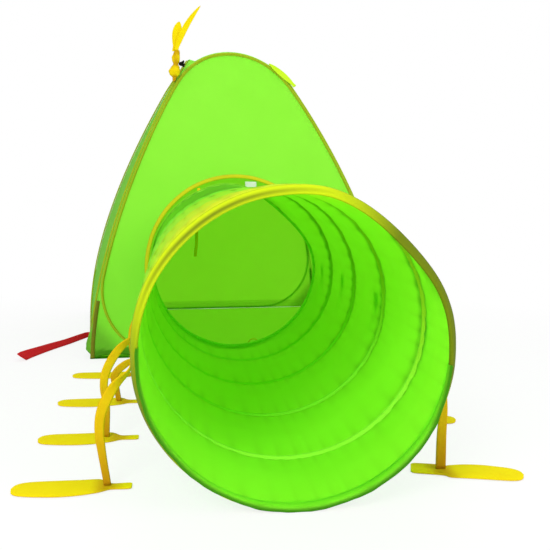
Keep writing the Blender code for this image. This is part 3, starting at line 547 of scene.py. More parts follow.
# %% The sleeve's width
def sleeve_width(z):
    """Flat on the sill, narrow up the corner seam and wide over the arch."""
    low = min(max((z - 0.010) / 0.050, 0.0), 1.0)
    width = SILL_SLEEVE_WIDTH + (SLEEVE_WIDTH - SILL_SLEEVE_WIDTH) * low
    return width + (ARCH_SLEEVE_WIDTH - SLEEVE_WIDTH) * smooth_step(z, 0.700, 0.860)


def loop_inset(z):
    return SLEEVE_STAND + sleeve_width(z) / 2


# %% The loop's line on a wall
LOOP_STEP = 0.0042


def loop_line():
    """The loop's centre line as (x, height), once round from the sill's middle."""
    knee = LOOP_BOTTOM + LOOP_CORNER_R
    for _ in range(30):
        lean = atan(seam_slope(knee))
        knee = LOOP_BOTTOM + LOOP_CORNER_R * (1 + sin(lean))
    lean = atan(seam_slope(knee))
    centre = half_width(knee) - loop_inset(knee) - LOOP_CORNER_R * cos(lean)
    half = [Vector((0, LOOP_BOTTOM, 0))]
    for i in range(41):
        angle = -pi / 2 + (pi / 2 + lean) * i / 40
        half.append(Vector((centre + LOOP_CORNER_R * cos(angle),
                            LOOP_BOTTOM + LOOP_CORNER_R * (1 + sin(angle)), 0)))
    for i in range(1, 61):
        z = knee + (ARCH_START_Z - knee) * i / 60
        half.append(Vector((half_width(z) - loop_inset(z), z, 0)))
    for i in range(1, 41):
        angle = ARCH_HALF_ANGLE * (1 - i / 40)
        radius = ARCH_R - loop_inset(ARCH_CENTRE_Z + ARCH_R * cos(angle))
        half.append(Vector((radius * sin(angle), ARCH_CENTRE_Z + radius * cos(angle),
                            0)))
    mirrored = [Vector((-p.x, p.y, 0)) for p in reversed(half[1:-1])]
    return spaced(half + mirrored + [half[0]], LOOP_STEP)[:-1]


print("loop wire", round(len(loop_line()) * LOOP_STEP, 2), "m long")


# %% The four sleeves
def sleeve_profile(width, height):
    """A folded tape over a wire: flat sewn lips and a round crown."""
    edge = width / 2
    bead = width * 0.27
    points = [(-edge, 0.0), (-edge, 0.0009), (-bead - 0.0012, 0.0010)]
    for i in range(7):
        angle = pi * (1 - i / 6)
        points.append((bead * cos(angle), 0.0011 + (height - 0.0011) * sin(angle)))
    points += [(bead + 0.0012, 0.0010), (edge, 0.0009), (edge, 0.0), (-edge, 0.0)]
    return points


def sleeve_frames(wall):
    line = loop_line()
    pucker = [0.0003 * sin(i * 2.1) + 0.0003 * ripple(p.x, p.y, wall, 60.0)
              for i, p in enumerate(line)]
    widths = [sleeve_width(p.y) / SLEEVE_WIDTH
              * (0.84 + 0.05 * ripple(p.x, p.y, wall, 45.0, 7.0)) for p in line]
    return frames_along([on_wall(p.x, p.y, 0.0002 + rise * 0.5, wall)
                         for p, rise in zip(line, pucker)],
                        [wall_up(p.y, wall) for p in line], True, widths)


for number, wall in enumerate(WALLS):
    piece = swept(f"{wall}_loop_sleeve", sleeve_frames(number),
                  sleeve_profile(SLEEVE_WIDTH, 0.0048), closed=True)
    finish_piece(piece, gold_tape, "tent", f"{wall}_sleeve")

# %% The spring wires in the sleeves
WIRE_PROFILE = [(WIRE_R * cos(pi / 4 * i), WIRE_R * sin(pi / 4 * i))
                for i in range(8)] + [(WIRE_R, 0.0)]
for number, wall in enumerate(WALLS):
    line = loop_line()[::2]
    piece = swept(f"{wall}_loop_wire", frames_along(
        [on_wall(p.x, p.y, 0.0028, number) for p in line],
        [wall_up(p.y, number) for p in line], True), WIRE_PROFILE, closed=True)
    finish_piece(piece, steel, "tent", f"{wall}_loop")

# %% [markdown]
# ## Corner tapes, roof and floor
# The corner seams are bound with a folded tape near the floor. The roof cloth hangs
# between the four arches. The floor is a plain sheet.
# Sewn seams hold all three to the walls, so they are laid along the walls' own edges.

# %% Corner tapes
# The corner tapes' brown is painted shade: yellow tape as it looks in the corners' shade.
CORNER_TAPE = 0.158
shape = [(0.0090, 0.0), (0.0090, -0.0012), (0.0030, -0.0014), (0.0, -0.0015),
         (-0.0012, -0.0010), (-0.0015, 0.0), (-0.0014, 0.0030), (-0.0012, 0.0090),
         (0.0, 0.0090), (0.0, 0.0), (0.0090, 0.0)]
for number, wall in enumerate(WALLS):
    def corner_place(u, v):
        z = 0.0020 + CORNER_TAPE * v
        a, b = shape[round(u * (len(shape) - 1))]
        c = -(half_width(z) + 0.0004 + 0.0003 * ripple(a, b, z, 90.0))
        return turned_to(number) @ Vector((c + a, c + b, z))

    piece = laid(f"{wall}_corner_binding", len(shape) - 1, 39, corner_place, round_across=True)
    finish_piece(piece, corner_shade_tape, "tent", f"{wall}_corner_tape")

# %% Roof cloth
def roof_place(u, v):
    angle = 2 * pi * u
    quarter = int(u * 4) % 4
    part = u * 4 - int(u * 4)
    tilt = ARCH_HALF_ANGLE * (2 * part - 1)
    rim_z = ARCH_CENTRE_Z + ARCH_R * cos(tilt)
    reach = half_width(rim_z) - 0.0016
    rim_x = ARCH_R * sin(tilt) * (1 - 0.0016 / half_width(ARCH_START_Z))
    rim = Vector((rim_x, -reach, rim_z - 0.0004 - side_drop(rim_z, quarter)))
    rim = turned_to(quarter) @ rim
    z = ROOF_MIDDLE_Z + (rim.z - ROOF_MIDDLE_Z) * v ** 2
    z += 0.0015 * ripple(rim.x * v, rim.y * v, 0, 18.0) * sin(pi * v)
    return Vector((rim.x * v, rim.y * v, z - 0.0008 * (1 - v)))


roof = laid("roof_cloth", 128, 28, roof_place, CLOTH)
finish_piece(roof, taffeta, "tent", "roof_panel")

# %% Floor sheet
def floor_place(u, v):
    reach = 0.4465
    x = reach * (2 * u - 1)
    y = reach * (2 * v - 1)
    z = 0.0008 + 0.0004 * ripple(x, y, 0, 14.0)
    return turned_to(0) @ Vector((x, y, z))


floor_cloth = laid("floor_cloth", 60, 60, floor_place, 0.0005)
# Painted shade along the floor sheet's front edge, under the front wall's hem.
lay_painted_tone(floor_cloth, lambda spot: 0.9 * smooth_step(
    -(Matrix.Rotation(-TENT_TURN, 3, "Z") @ spot).y, 0.405, 0.425))
finish_piece(floor_cloth, taffeta, "tent", "floor_sheet")

# %% [markdown]
# ## The doorway's binding
# A folded tape grips the cut edge from both faces. It is swept round the same circle that
# cut the doorway, so that it follows the wall's curve and no gap opens between them.

# %% Doorway binding
door_low = asin((0.036 - DOOR_Z) / DOOR_R)
edge = [door_point(door_low + (pi - 2 * door_low) * i / 220,
                   DOOR_R + 0.0006 * ripple(i, 0, 0, 0.11), -0.0007) for i in range(221)]
profile = [(0.0085, -0.0011), (0.0085, -0.0019), (0.0, -0.0021), (-0.0022, -0.0015),
           (-0.0029, 0.0), (-0.0022, 0.0015), (0.0, 0.0021), (0.0085, 0.0019),
           (0.0085, 0.0011), (0.0, 0.0010), (0.0, -0.0010), (0.0085, -0.0011)]
door_tape = swept("doorway_tape", frames_along(*zip(*edge)), profile)
finish_piece(door_tape, door_yellow, "tent", "doorway_binding")

# %% [markdown]
# ## The tunnel
# The cloth is tight where the coil holds it out and draws in between the turns. It is
# gathered a little along the coil, so fine creases leave each turn and fade.
# A plain tube with a bump would keep a straight outline, so the points themselves move.

# %% Places round the tunnel
def on_tube(point):
    """A point in the tunnel's own axes, and its angle round them."""
    spot = TUNNEL_PLACE.inverted() @ point
    return spot, atan2(spot.z, spot.x)


def to_coil(angle, along):
    """The distance along the tunnel to the coil's nearest turn."""
    turns = (along - COIL_RIGHT_AT) / COIL_PITCH + angle / (2 * pi)
    phase = turns - floor(turns)
    return min(phase, 1 - phase) * COIL_PITCH


def bump(angle, middle, reach):
    """1 at an angle in degrees and 0 past its reach on either side."""
    off = (degrees(angle) - middle + 180) % 360 - 180
    return cos(pi / 2 * off / reach) ** 2 if abs(off) < reach else 0.0


# %% The mouth's twist and the slump at the rear
RIM_PIVOT = 0.0150
RIM_TILTS = ((-180, 30), (-150, 20), (-90, 8), (-40, 10), (-12, 32), (10, 42), (54, 40), (75, 50),
             (99, 64), (130, 64), (160, 44), (180, 30))
print("the mouth's edge is turned forwards by", max(RIM_TILTS, key=lambda p: p[1])[1], "degrees")


def rim_tilt(angle):
    """How far the bound edge of the mouth is turned to face forwards, by angle."""
    spot = (degrees(angle) + 180) % 360 - 180
    for (a, low), (b, high) in zip(RIM_TILTS, RIM_TILTS[1:]):
        if a <= spot <= b:
            return radians(low + (high - low) * smooth_step(spot, a, b))
    return 0.0


def drawn_in(angle, along):
    """How far the tube lies inside its circle: twisted at the mouth, slumped at the rear."""
    mouth = 0.0055 * bump(angle, 40, 48) * exp(-along / 0.20)
    mouth += 0.0110 * bump(angle, 48, 36) * exp(-along / 0.035)
    rear = 0.030 * bump(angle, 48, 55) * smooth_step(along, 0.86, 1.16)
    slump = smooth_step(along, 0.70, 1.12) - 0.92 * smooth_step(along, 1.145, 1.19)
    rear += 0.016 * bump(angle, 120, 65) * slump
    rear += 0.0010 * (bump(angle, 0, 14) + bump(angle, 180, 14))
    top = 0.009 * bump(angle, 95, 60) * smooth_step(along, 0.04, 0.30)
    return mouth + rear + top * (1 - smooth_step(along, 0.80, 1.15))


def tube_point(angle, along, radius):
    """A point of the tunnel by its angle, its distance from the mouth and its radius."""
    if along < RIM_PIVOT:
        tilt = rim_tilt(angle)
        reach = along - RIM_PIVOT
        height = radius - TUNNEL_R
        along = RIM_PIVOT + reach * cos(tilt) - height * sin(tilt)
        radius = TUNNEL_R + height * cos(tilt) + reach * sin(tilt)
    radius -= drawn_in(angle, along)
    point = TUNNEL_PLACE @ Vector((radius * cos(angle), along, radius * sin(angle)))
    point.z = max(point.z, 0.0006)
    return point


def round_noise(angle, along, scale, seed=0.0):
    """Unevenness round the tube that meets itself after a full turn."""
    return ripple(cos(angle), sin(angle), along * 4, scale, seed)


def gathers(angle):
    """The fine gathers round the tube, from -1 in a furrow to 1 on a ridge."""
    return sin(angle * 44 + 3 * sin(angle * 5))


# %% The tunnel's cloth
CLOTH_R = 0.2408


def tunnel_place(u, v):
    angle = 2 * pi * u
    along = 0.001 + (TUNNEL_LENGTH - 0.002) * v
    near = min(to_coil(angle, along), along, TUNNEL_LENGTH - along)
    sag = 0.0075 * (1 - exp(-near / 0.045))
    crease = exp(-near / 0.035) * min(near / 0.008, 1.0)
    pull = 0.0013 * crease * gathers(angle)
    pull += 0.0030 * round_noise(angle, along, 1.5) * (1 - exp(-near / 0.03))
    pull += 0.0012 * round_noise(angle, along, 4.5, 3.0) * (1 - exp(-near / 0.03))
    return tube_point(angle, along, CLOTH_R - sag + pull)


# %% The tunnel's painted shade and painted highlight
def tunnel_painted_shade(point):
    """Painted shade: beside each coil turn on the right, in the furrows of the gathers near the
    coil and the mouth, in the fold at the mouth's upper right and over the crown near the rear.
    """
    spot, angle = on_tube(point)
    near = to_coil(angle, spot.y)
    beside = 0.40 * exp(-((near - 0.012) / 0.010) ** 2) * bump(angle, 20, 90)
    beside += 0.16 * exp(-min(near, spot.y) / 0.040) * max(-gathers(angle), 0) ** 2
    hem = 0.85 * bump(angle, 48, 40) * (1 - smooth_step(spot.y, 0.03, 0.10))
    rear = 0.40 * bump(angle, 108, 80) * smooth_step(spot.y, 1.00, 1.12)
    return max(beside, hem, rear)


def tunnel_painted_highlight(point):
    """A painted highlight in yellow on the crown's left, strongest near the mouth."""
    spot, angle = on_tube(point)
    return 0.9 * bump(angle, 120, 72) * (1 - smooth_step(spot.y, 0.08, 0.95))


# %% Lay the tunnel
def folds_with_tunnel(piece):
    """Give a piece its own copy of its mesh."""
    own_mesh(piece)


tunnel = laid("tunnel_cloth_tube", 240, 200, tunnel_place, CLOTH)
lay_painted_tone(tunnel, tunnel_painted_shade)
lay_painted_tone(tunnel, tunnel_painted_highlight, "lit_highlight")
finish_piece(tunnel, tunnel_taffeta, "tent", "tunnel_cloth")
folds_with_tunnel(tunnel)

# %% [markdown]
# ## Coil and rings
# The coil is one wire in a tape inside the cloth. The end rings are wires in the turned
# edges. A screw modifier could make a helix, but points by formula give wire, tape and
# cloth the same line. The wire is a plain round helix, and the tape is laid over it.

# %% The coil's line and its wire
COIL_R = 0.2388


def coil_line(step):
    """Angles and distances of the helix, from the mouth's end to the far end."""
    reach = 0.0400
    top = (COIL_RIGHT_AT - reach) / COIL_PITCH * 360
    low = (COIL_RIGHT_AT - (TUNNEL_LENGTH - reach)) / COIL_PITCH * 360
    count = int((top - low) / step)
    angles = [radians(top - (top - low) * i / count) for i in range(count + 1)]
    return [(angle, COIL_RIGHT_AT - COIL_PITCH * angle / (2 * pi)) for angle in angles]


def inner_up(angle):
    return TUNNEL_PLACE.to_3x3() @ Vector((-cos(angle), 0, -sin(angle)))


stations = coil_line(5)
wire = swept("tunnel_coil_wire", frames_along([tube_point(*s, COIL_R) for s in stations],
                                              [inner_up(s[0]) for s in stations]), WIRE_PROFILE)
finish_piece(wire, steel, "tent", "tunnel_coil")
folds_with_tunnel(wire)

# %% The coil's tape
stations = coil_line(1.5)
points = [tube_point(angle, along + 0.0010 * ripple(angle, along, 0, 1.3), COIL_R)
          for angle, along in stations]
widths = [1.12 + 0.10 * ripple(angle, along, 0, 7.0, 5.0) for angle, along in stations]
laid_flat = frames_along(points, [inner_up(s[0]) for s in stations], widths=widths)
frames = [(point, side, up * (0.60 + 0.20 * bump(station[0], 20, 100)), width)
          for station, (point, side, up, width) in zip(stations, laid_flat)]
half = [(-0.0100, 0.0000), (-0.0085, 0.0008), (-0.0060, 0.0012), (-0.0040, 0.0022),
        (-0.0020, 0.0032)]
tape = swept("tunnel_coil_tape", frames,
             half + [(0.0, 0.0036)] + [(-a, b) for a, b in reversed(half)])
# The gathered sleeve is darker on the right, where the light comes through it least.
lay_painted_tone(tape, lambda point: 0.95 * bump(on_tube(point)[1], 25, 70))
finish_piece(tape, coil_sleeve, "tent", "coil_tape")
folds_with_tunnel(tape)

# %% The two end rings
RING_R = 0.2374
RING_IN = 0.0085
angles = [2 * pi * i / 120 for i in range(120)]
for end, along, body in (("front", RING_IN, "tunnel_mouth"),
                         ("rear", TUNNEL_LENGTH - RING_IN, "tent")):
    ring = swept(f"{end}_ring_wire", frames_along(
        [tube_point(a, along, RING_R) for a in angles],
        [inner_up(a) for a in angles], True), WIRE_PROFILE, closed=True)
    finish_piece(ring, steel, body, f"{end}_ring")

# %% The bound edges of the two ends
def end_binding(name, along, way, finish, body, *nodes):
    """A tape folded over an end ring and the cloth's edge. way is 1 where the tube goes back."""
    shape = [(0.0125, 0.2424), (0.0105, 0.2425), (0.0085, 0.2426), (0.0065, 0.2427),
             (0.0045, 0.2428), (0.0025, 0.2427), (0.0006, 0.2424), (-0.0010, 0.2418),
             (-0.0019, 0.2408), (-0.0020, 0.2396), (-0.0016, 0.2382), (-0.0004, 0.2367),
             (0.0015, 0.2356), (0.0045, 0.2344), (0.0085, 0.2336), (0.0130, 0.2348),
             (0.0146, 0.2390), (0.0144, 0.2398), (0.0020, 0.2400), (0.0020, 0.2412),
             (0.0120, 0.2416), (0.0125, 0.2424)]

    def place(u, v):
        angle = 2 * pi * v
        a, r = shape[round(u * (len(shape) - 1))]
        wave = (0.0005 + 0.0012 * bump(angle, -95, 80)) * round_noise(angle, along, 5.0)
        return tube_point(angle, along + way * (a + wave * 0.5), r + wave * 0.5)

    piece = laid(name, len(shape) - 1, 360, place, round_across=True)
    return finish_piece(piece, finish, body, *nodes)


def mouth_painted_shade(point):
    """Painted shade in olive on the tape's right and left sides, and along its fold on the upper
    left.
    """
    spot, angle = on_tube(point)
    tilt = rim_tilt(angle)
    ahead = spot.y - RIM_PIVOT
    out = hypot(spot.x, spot.z) + drawn_in(angle, spot.y) - TUNNEL_R
    back = RIM_PIVOT + ahead * cos(tilt) + out * sin(tilt)
    streak = 1.0 * exp(-((back - 0.0035) / 0.0040) ** 2) * bump(angle, 125, 72)
    return max(streak, bump(angle, 20, 74) * 1.5, 0.95 * bump(angle, 200, 55))


mouth_tape = end_binding("mouth_edge_binding", 0.0, 1, mouth_olive, "tunnel_mouth",
                         "front_ring_binding")
lay_painted_tone(mouth_tape, mouth_painted_shade)
end_binding("rear_edge_binding", TUNNEL_LENGTH, -1, coil_sleeve, "tent", "rear_ring_binding")

# %% The cloth lip over the mouth's lower edge
def lip_place(u, v):
    """A fold of the tunnel's cloth that comes forward over the tape, wavy along its edge."""
    angle = radians(-182 + 176 * v)
    fade = sin(pi * v) ** 0.4
    wave = round_noise(angle, 0, 6.0, 2.0) * 0.0016 + round_noise(angle, 0, 14.0, 5.0) * 0.0008
    shape = ((-0.0034, 0.2424), (-0.0036, 0.2396), (-0.0022, 0.2358), (0.0030, 0.2336),
             (0.0085, 0.2322), (0.0150, 0.2334), (0.0220, 0.2362), (0.0300, 0.2384))
    a, r = shape[round(u * (len(shape) - 1))]
    thin = (1 - fade) * 0.0012
    return tube_point(angle, a + wave * (1 - u), r + wave * (1 - u) + thin)


def lip_painted_shade(point):
    """Painted shade on the lip's front, where it is doubled over the tape; its inner edge, one
    layer, stays light.
    """
    spot, angle = on_tube(point)
    out = hypot(spot.x, spot.z) + drawn_in(angle, 0.0) - TUNNEL_R
    tilt = rim_tilt(angle)
    height = out * cos(tilt) - (spot.y - RIM_PIVOT) * sin(tilt)
    return 0.85 * smooth_step(height, -0.0050, -0.0010)


lip = laid("mouth_cloth_lip", 7, 280, lip_place, CLOTH)
lay_painted_tone(lip, lip_painted_shade)
finish_piece(lip, tunnel_taffeta, "tunnel_mouth")

# %% [markdown]
# ## Legs
# Each leg is a limp strap, sewn to the tunnel's side, that carries a leaf-shaped foot.
# The foot is two layers of felt, sewn together and flat on the floor. Each strap bends in
# its own way, so a smooth curve is drawn for each, and one flat tape is swept along it.

# %% Sizes of the legs, left and right
LEGS_ALONG = {"left": (0.1033, 0.3107, 0.5256, 0.7405),
              "right": (0.1223, 0.3884, 0.6529, 0.8620)}
STRAP_BULGE = {"left": (0.052, 0.066, 0.066, 0.042), "right": (0.030,) * 4}
STRAP_FOOT_OUT = {"left": 0.040, "right": 0.028}
STRAP_LEAVES = {"left": (0.24, 0.20, 0.60, 0.30), "right": (0.14,) * 4}
STRAP_WIDTHS = {"left": (1.04, -0.32), "right": (0.76, 0.36)}
STRAP_ENDS = {"left": (0.040, 0.062, 0.056, 0.036), "right": (0.028,) * 4}
STRAP_OFF = 0.0018
FOOT_LENGTH = 0.186
FOOT_TAIL = {"left": 0.038, "right": 0.050}
FOOT_TAIL_HALF = {"left": 0.0125, "right": 0.0250}
FOOT_TURN = {"left": 0.0, "right": -17.0}
FOOT_HALF_WIDTH = 0.0335
print("foot", FOOT_LENGTH, "by", 2 * FOOT_HALF_WIDTH, "m")

# %% A curve through knots, and a flat tape's section
def smooth_path(knots, steps):
    """Points on a Catmull-Rom curve through the knots."""
    knots = [Vector(k) for k in knots]
    ends = [knots[0] * 2 - knots[1]] + knots + [knots[-1] * 2 - knots[-2]]
    points = []
    for i in range(steps + 1):
        t = i / steps * (len(knots) - 1)
        k = min(int(t), len(knots) - 2)
        t -= k
        a, b, c, d = ends[k:k + 4]
        part = b * 2 + (c - a) * t + (a * 2 - b * 5 + c * 4 - d) * t * t
        part += (b * 3 - a - c * 3 + d) * t ** 3
        points.append(part / 2)
    return points


def flat_profile(half, thick):
    """A tape's section with rounded edges, once round."""
    soft = thick * 0.5
    under = [(-half, 0.0), (-half + soft, -soft), (-half * 0.5, -thick * 0.56),
             (0.0, -thick * 0.5), (half * 0.5, -thick * 0.56), (half - soft, -soft), (half, 0.0)]
    return under + [(a, -b) for a, b in reversed(under[:-1])]


# %% A strap's path
STRAP_STEPS = 60


def strap_frames(matrix, bulge, drop, leave, foot_out, start, flare):
    """Flat on the wall down to a share of its drop, then out, over and edge-on to the foot."""
    half = 0.0013
    knots = [(half, 0, 0), (half + 0.001, 0, -drop * leave * 0.6),
             (half + 0.004, 0, -drop * leave)]
    for share, out in ((0.14, 0.55), (0.33, 0.90), (0.50, 1.0), (0.71, 0.93)):
        knots.append((bulge * out, 0, -drop * (leave + (1 - leave) * share)))
    knots.append((foot_out, 0, -drop))
    points = smooth_path(knots, STRAP_STEPS)
    found = []
    for i, point in enumerate(points):
        inner = 0 < i < STRAP_STEPS
        ahead = ahead_at(points, i) if inner else Vector((0, 0, -1))
        share = smooth_step(i / STRAP_STEPS, 0.20, 0.52)
        twist = Matrix.Rotation(pi / 2 * share, 3, ahead)
        across = twist @ Vector((0, 1, 0))
        up = twist @ ahead.cross(Vector((0, 1, 0)))
        width = start + flare * smooth_step(i / STRAP_STEPS, 0.55, 1.0)
        width += 0.06 * ripple(i, drop * 9, 0, 0.11)
        turn = matrix.to_3x3()
        found.append((matrix @ point, turn @ across, turn @ up, width))
    return found


# %% A foot
def foot_edges(side):
    """(x, far edge, near edge) from the foot's tail inside the strap to its toe."""
    tail = FOOT_TAIL[side]
    leaf = FOOT_LENGTH - tail
    narrow = FOOT_TAIL_HALF[side]
    edges = [(-tail * x, -narrow * y, narrow * y)
             for x, y in ((1.0, 0.72), (0.90, 0.95), (0.70, 1.0), (0.14, 1.0))]
    for x, far, near in ((0.05, 0.80, 0.62), (0.12, 1.0, 0.78), (0.30, 0.97, 1.02),
                         (0.50, 0.94, 1.1), (0.70, 0.92, 1.02), (0.84, 0.88, 0.90),
                         (0.93, 0.74, 0.74), (0.98, 0.46, 0.46), (1.0, 0.03, 0.03)):
        edges.append((leaf * x, -FOOT_HALF_WIDTH * far, FOOT_HALF_WIDTH * near))
    return edges


def foot_place(matrix, side, seed):
    edges = smooth_path(foot_edges(side), 60)

    def place(u, v):
        edge = edges[round(v * 60)]
        turn = 2 * pi * u
        across = cos(turn)
        crown = sin(turn)
        y = (edge.y + edge.z) / 2 + (edge.z - edge.y) / 2 * across
        face = copysign(min(abs(crown) * 3, 1.0), crown)
        z = 0.0022 + face * 0.0011
        if crown > 0:
            z += (1 - abs(across) ** 3) * 0.0010 + 0.0005 * ripple(across, v * 5, seed, 1.4)
        return matrix @ Vector((edge.x, y, z))
    return place


# %% The eight legs
for side, way in (("left", -1), ("right", 1)):
    for number, share in enumerate(LEGS_ALONG[side]):
        y = MOUTH_Y + TUNNEL_LENGTH * share
        hinge_z = axis_z(y) + 0.006
        name = f"leg_{side}_{number + 1}"
        face_x = TUNNEL_SIDE + way * (TUNNEL_R + 0.0003)
        turn = Matrix.Rotation(0 if way > 0 else pi, 4, "Z")
        seat = Matrix.Translation((face_x, y, hinge_z)) @ turn
        hinge = Matrix.Translation((face_x + way * STRAP_OFF, y, hinge_z)) @ turn
        top = [(seat @ Vector((0.00075, 0, 0.015 - 0.03 * i / 12)),
                seat.to_3x3() @ Vector((0, 1, 0)), seat.to_3x3() @ Vector((1, 0, 0)), 1.0)
               for i in range(13)]
        piece = swept(f"{name}_sewn_end", top, flat_profile(0.013, 0.0015))
        finish_piece(piece, yellow_felt, f"{name}_seat", f"{name}_patch")
        piece = swept(f"{name}_webbing", strap_frames(
            hinge, STRAP_BULGE[side][number], hinge_z - 0.0048, STRAP_LEAVES[side][number],
            STRAP_ENDS[side][number], *STRAP_WIDTHS[side]), flat_profile(0.008, 0.0026))
        # Painted shade on the webbing, darker towards the floor.
        lay_painted_tone(piece, lambda point: 0.85 * (1 - smooth_step(point.z, 0.0, 0.13)))
        finish_piece(piece, yellow_webbing, name, f"{name}_strap")
        ground = (Matrix.Translation((face_x + way * (STRAP_OFF + STRAP_FOOT_OUT[side]), y, 0))
                  @ turn @ Matrix.Rotation(radians(FOOT_TURN[side]), 4, "Z"))
        piece = laid(f"{name}_sole", 24, 60, foot_place(ground, side, number + way),
                     round_across=True)
        # Painted shade on each foot: under the strap's end and on its lower face and rim.
        lay_painted_tone(piece, lambda point: max(
            0.75 * (1 - smooth_step(abs(point.x - ground.translation.x), 0.004, 0.030)),
            0.7 * (1 - smooth_step(point.z, 0.0022, 0.0033))))
        finish_piece(piece, yellow_felt, name, f"{name}_foot")
print("legs:", sum(map(len, LEGS_ALONG.values())))

# %% [markdown]
# ## Antennae, straps and ribbons
# Strips of the same felt are knotted at the top corner, and one lies over the other
# corner. A red strap lies on the floor. Each blade is a grid rolled into a flat leaf, which
# keeps its edge round and its seam closed, as two layers of felt sewn together have.

# %% The knot
corner = half_width(ARCH_START_Z)
turned = turned_to(0)
foot = turned @ Vector((-corner - 0.0022, -corner - 0.0022, ARCH_START_Z))


def knot_place(u, v):
    levels = [0.30, 0.42, 1.1, 1.3, 1.0, 0.58, 0.84, 0.92, 0.72, 0.55]
    k = min(int(v * 9), 8)
    t = v * 9 - k
    share = levels[k] + (levels[k + 1] - levels[k]) * t * t * (3 - 2 * t)
    angle = 2 * pi * u
    fold = 1 + 0.10 * sin(angle * 3 + v * 14)
    z = -0.033 + 0.093 * v
    return foot + Vector((0.1 * z + 0.0135 * share * fold * cos(angle),
                          0.0108 * share * fold * sin(angle), 0.033 + z))


knot = laid("antenna_knot_cloth", 32, 48, knot_place, round_across=True)
# Painted shade in the knot's narrow necks, between its lobes.
lay_painted_tone(knot, lambda spot: 0.95 - 0.85 * smooth_step(
    hypot(spot.x - foot.x - 0.1 * (spot.z - foot.z - 0.033), spot.y - foot.y), 0.006, 0.0135))
finish_piece(knot, yellow_felt, "tent", "antenna_knot")

# %% A blade of felt
def blade(name, matrix, length, half, neck, bend, tip, node):
    """A leaf of felt on its neck that leans with its bend. A high tip is a broad end."""
    def place(u, v):
        leaf = sin(pi * v ** tip) ** 0.6 if 0 < v < 1 else 0.0
        width = half * max(leaf, neck * (1 - v))
        turn = 2 * pi * u
        across = cos(turn)
        ahead = Vector((2 * bend * v, 0, length)).normalized()
        point = Vector((bend * v * v, 0, length * v)) + Vector((ahead.z, 0, -ahead.x)) * (
            width * across)
        cup = 0.0016 * across * across
        face = copysign(min(abs(sin(turn)) * 3, 1.0), sin(turn))
        point.y += face * 0.0012 - cup + 0.0006 * ripple(across, v * 6, length, 1.3)
        return matrix @ point

    piece = laid(name, 24, 48, place, round_across=True)
    finish = lime_felt if node == "right_antenna" else yellow_felt
    return finish_piece(piece, finish, "tent", node)


# %% The three blades
KNOT_TOP = 0.0900
LEAN = radians(15)
base = Matrix.Translation(foot)
long_at = Matrix.Translation((0.004, -0.003, KNOT_TOP + 0.0095 / 2 * sin(LEAN)))
blade("antenna_long_leaf", base @ long_at @ Matrix.Rotation(LEAN, 4, "Y"),
      0.150, 0.0090, 0.7, 0.036, 0.8, "left_antenna_long")
blade("antenna_short_leaf", base @ Matrix.Translation((-0.002, 0.0036, KNOT_TOP))
      @ Matrix.Rotation(radians(5), 4, "Y"), 0.090, 0.0135, 0.5, 0.008, 1.5,
      "left_antenna_short")
lean = atan(seam_slope(ARCH_START_Z))
spot = turned @ Vector((corner + 0.010, -corner - 0.0088, ARCH_START_Z - 0.002))
over = (Matrix.Translation(spot) @ Matrix.Rotation(TENT_TURN, 4, "Z")
        @ Matrix.Rotation(-lean, 4, "X") @ Matrix.Rotation(radians(-36), 4, "Y"))
blade("right_antenna_leaf", over, 0.112, 0.0100, 0.6, -0.012, 1.0, "right_antenna")

# %% The black tuft
TUFT_R = 0.0065
tuft_at = foot + Vector((0.0135 * 1.30, 0, 0.053))
deselect()
bpy.ops.mesh.primitive_ico_sphere_add(subdivisions=4, radius=TUFT_R, location=tuft_at)
tuft = bpy.context.object
tuft.name = "black_yarn_tuft"
bpy.ops.object.transform_apply(location=True, rotation=True, scale=True)
for vert in tuft.data.vertices:
    out = vert.co - tuft_at
    away = smooth_step(out.x / TUFT_R, 0.1, 0.7)
    spike = max(noise.noise(out * 520.0), 0.0) * 3.4 * away
    vert.co = tuft_at + out * (0.94 + min(spike, 1.3))
bpy.ops.object.shade_smooth()
finish_piece(tuft, black_yarn, "tent", "black_tuft")

# %% The red strap
RED_OUT = 0.188
RED_AHEAD = 0.330
start_z = 0.016
lying = 0.0026 * 0.92
knots = [(x * RED_OUT, y * RED_AHEAD, z) for x, y, z in (
    (0, 0, 0.0105), (0.07, 0.01, 0.0102), (0.18, 0.11, 0.0085),
    (0.38, 0.32, lying * 1.8), (0.59, 0.52, lying), (0.80, 0.74, lying),
    (0.94, 0.90, lying * 1.3), (1, 1, start_z))]
at = turned @ Vector((-half_width(start_z) - 0.0010, -0.115, 0))
red_place = Matrix.Translation(at) @ Matrix.Rotation(TENT_TURN + pi, 4, "Z")
points = [red_place @ p for p in smooth_path(knots, 84)]
red_widths = [0.38, 0.40, 0.43, 0.46, 0.49, 0.52, 0.55, 0.58, 0.62, 0.66, 0.72, 0.78, 0.82,
              0.80, 0.7]
frames = []
for i, point in enumerate(points):
    ahead = ahead_at(points, i)
    flat = Vector((-ahead.y, ahead.x, 0)).normalized()
    if flat.y < 0:
        flat = -flat
    t = i / 84 * 14
    k = min(int(t), 13)
    width = red_widths[k] + (red_widths[k + 1] - red_widths[k]) * (t - k)
    width *= (1.0, 0.97, 0.90, 0.78, 0.60, 0.30)[max(i - 79, 0)]
    roll = radians(68 - 30 * smooth_step(i, 0, 40) - 6 * smooth_step(i, 40, 84))
    side = flat * cos(roll) + Vector((0, 0, sin(roll)))
    point.z = max(point.z, 0.020 * width * sin(roll) + 0.0022)
    frames.append((point, side, side.cross(ahead).normalized(), width))
red = swept("red_floor_strap", frames, flat_profile(0.020, 0.0026))
finish_piece(red, red_webbing, "floor_strap", "red_strap")

# %% Ribbon and tag
def hung(points):
    """Frames for a ribbon that hangs at the doorway with its face to the front."""
    return [(p, turned @ Vector((1, 0, 0)), turned @ Vector((0, 1, 0)), 1.0) for p in points]


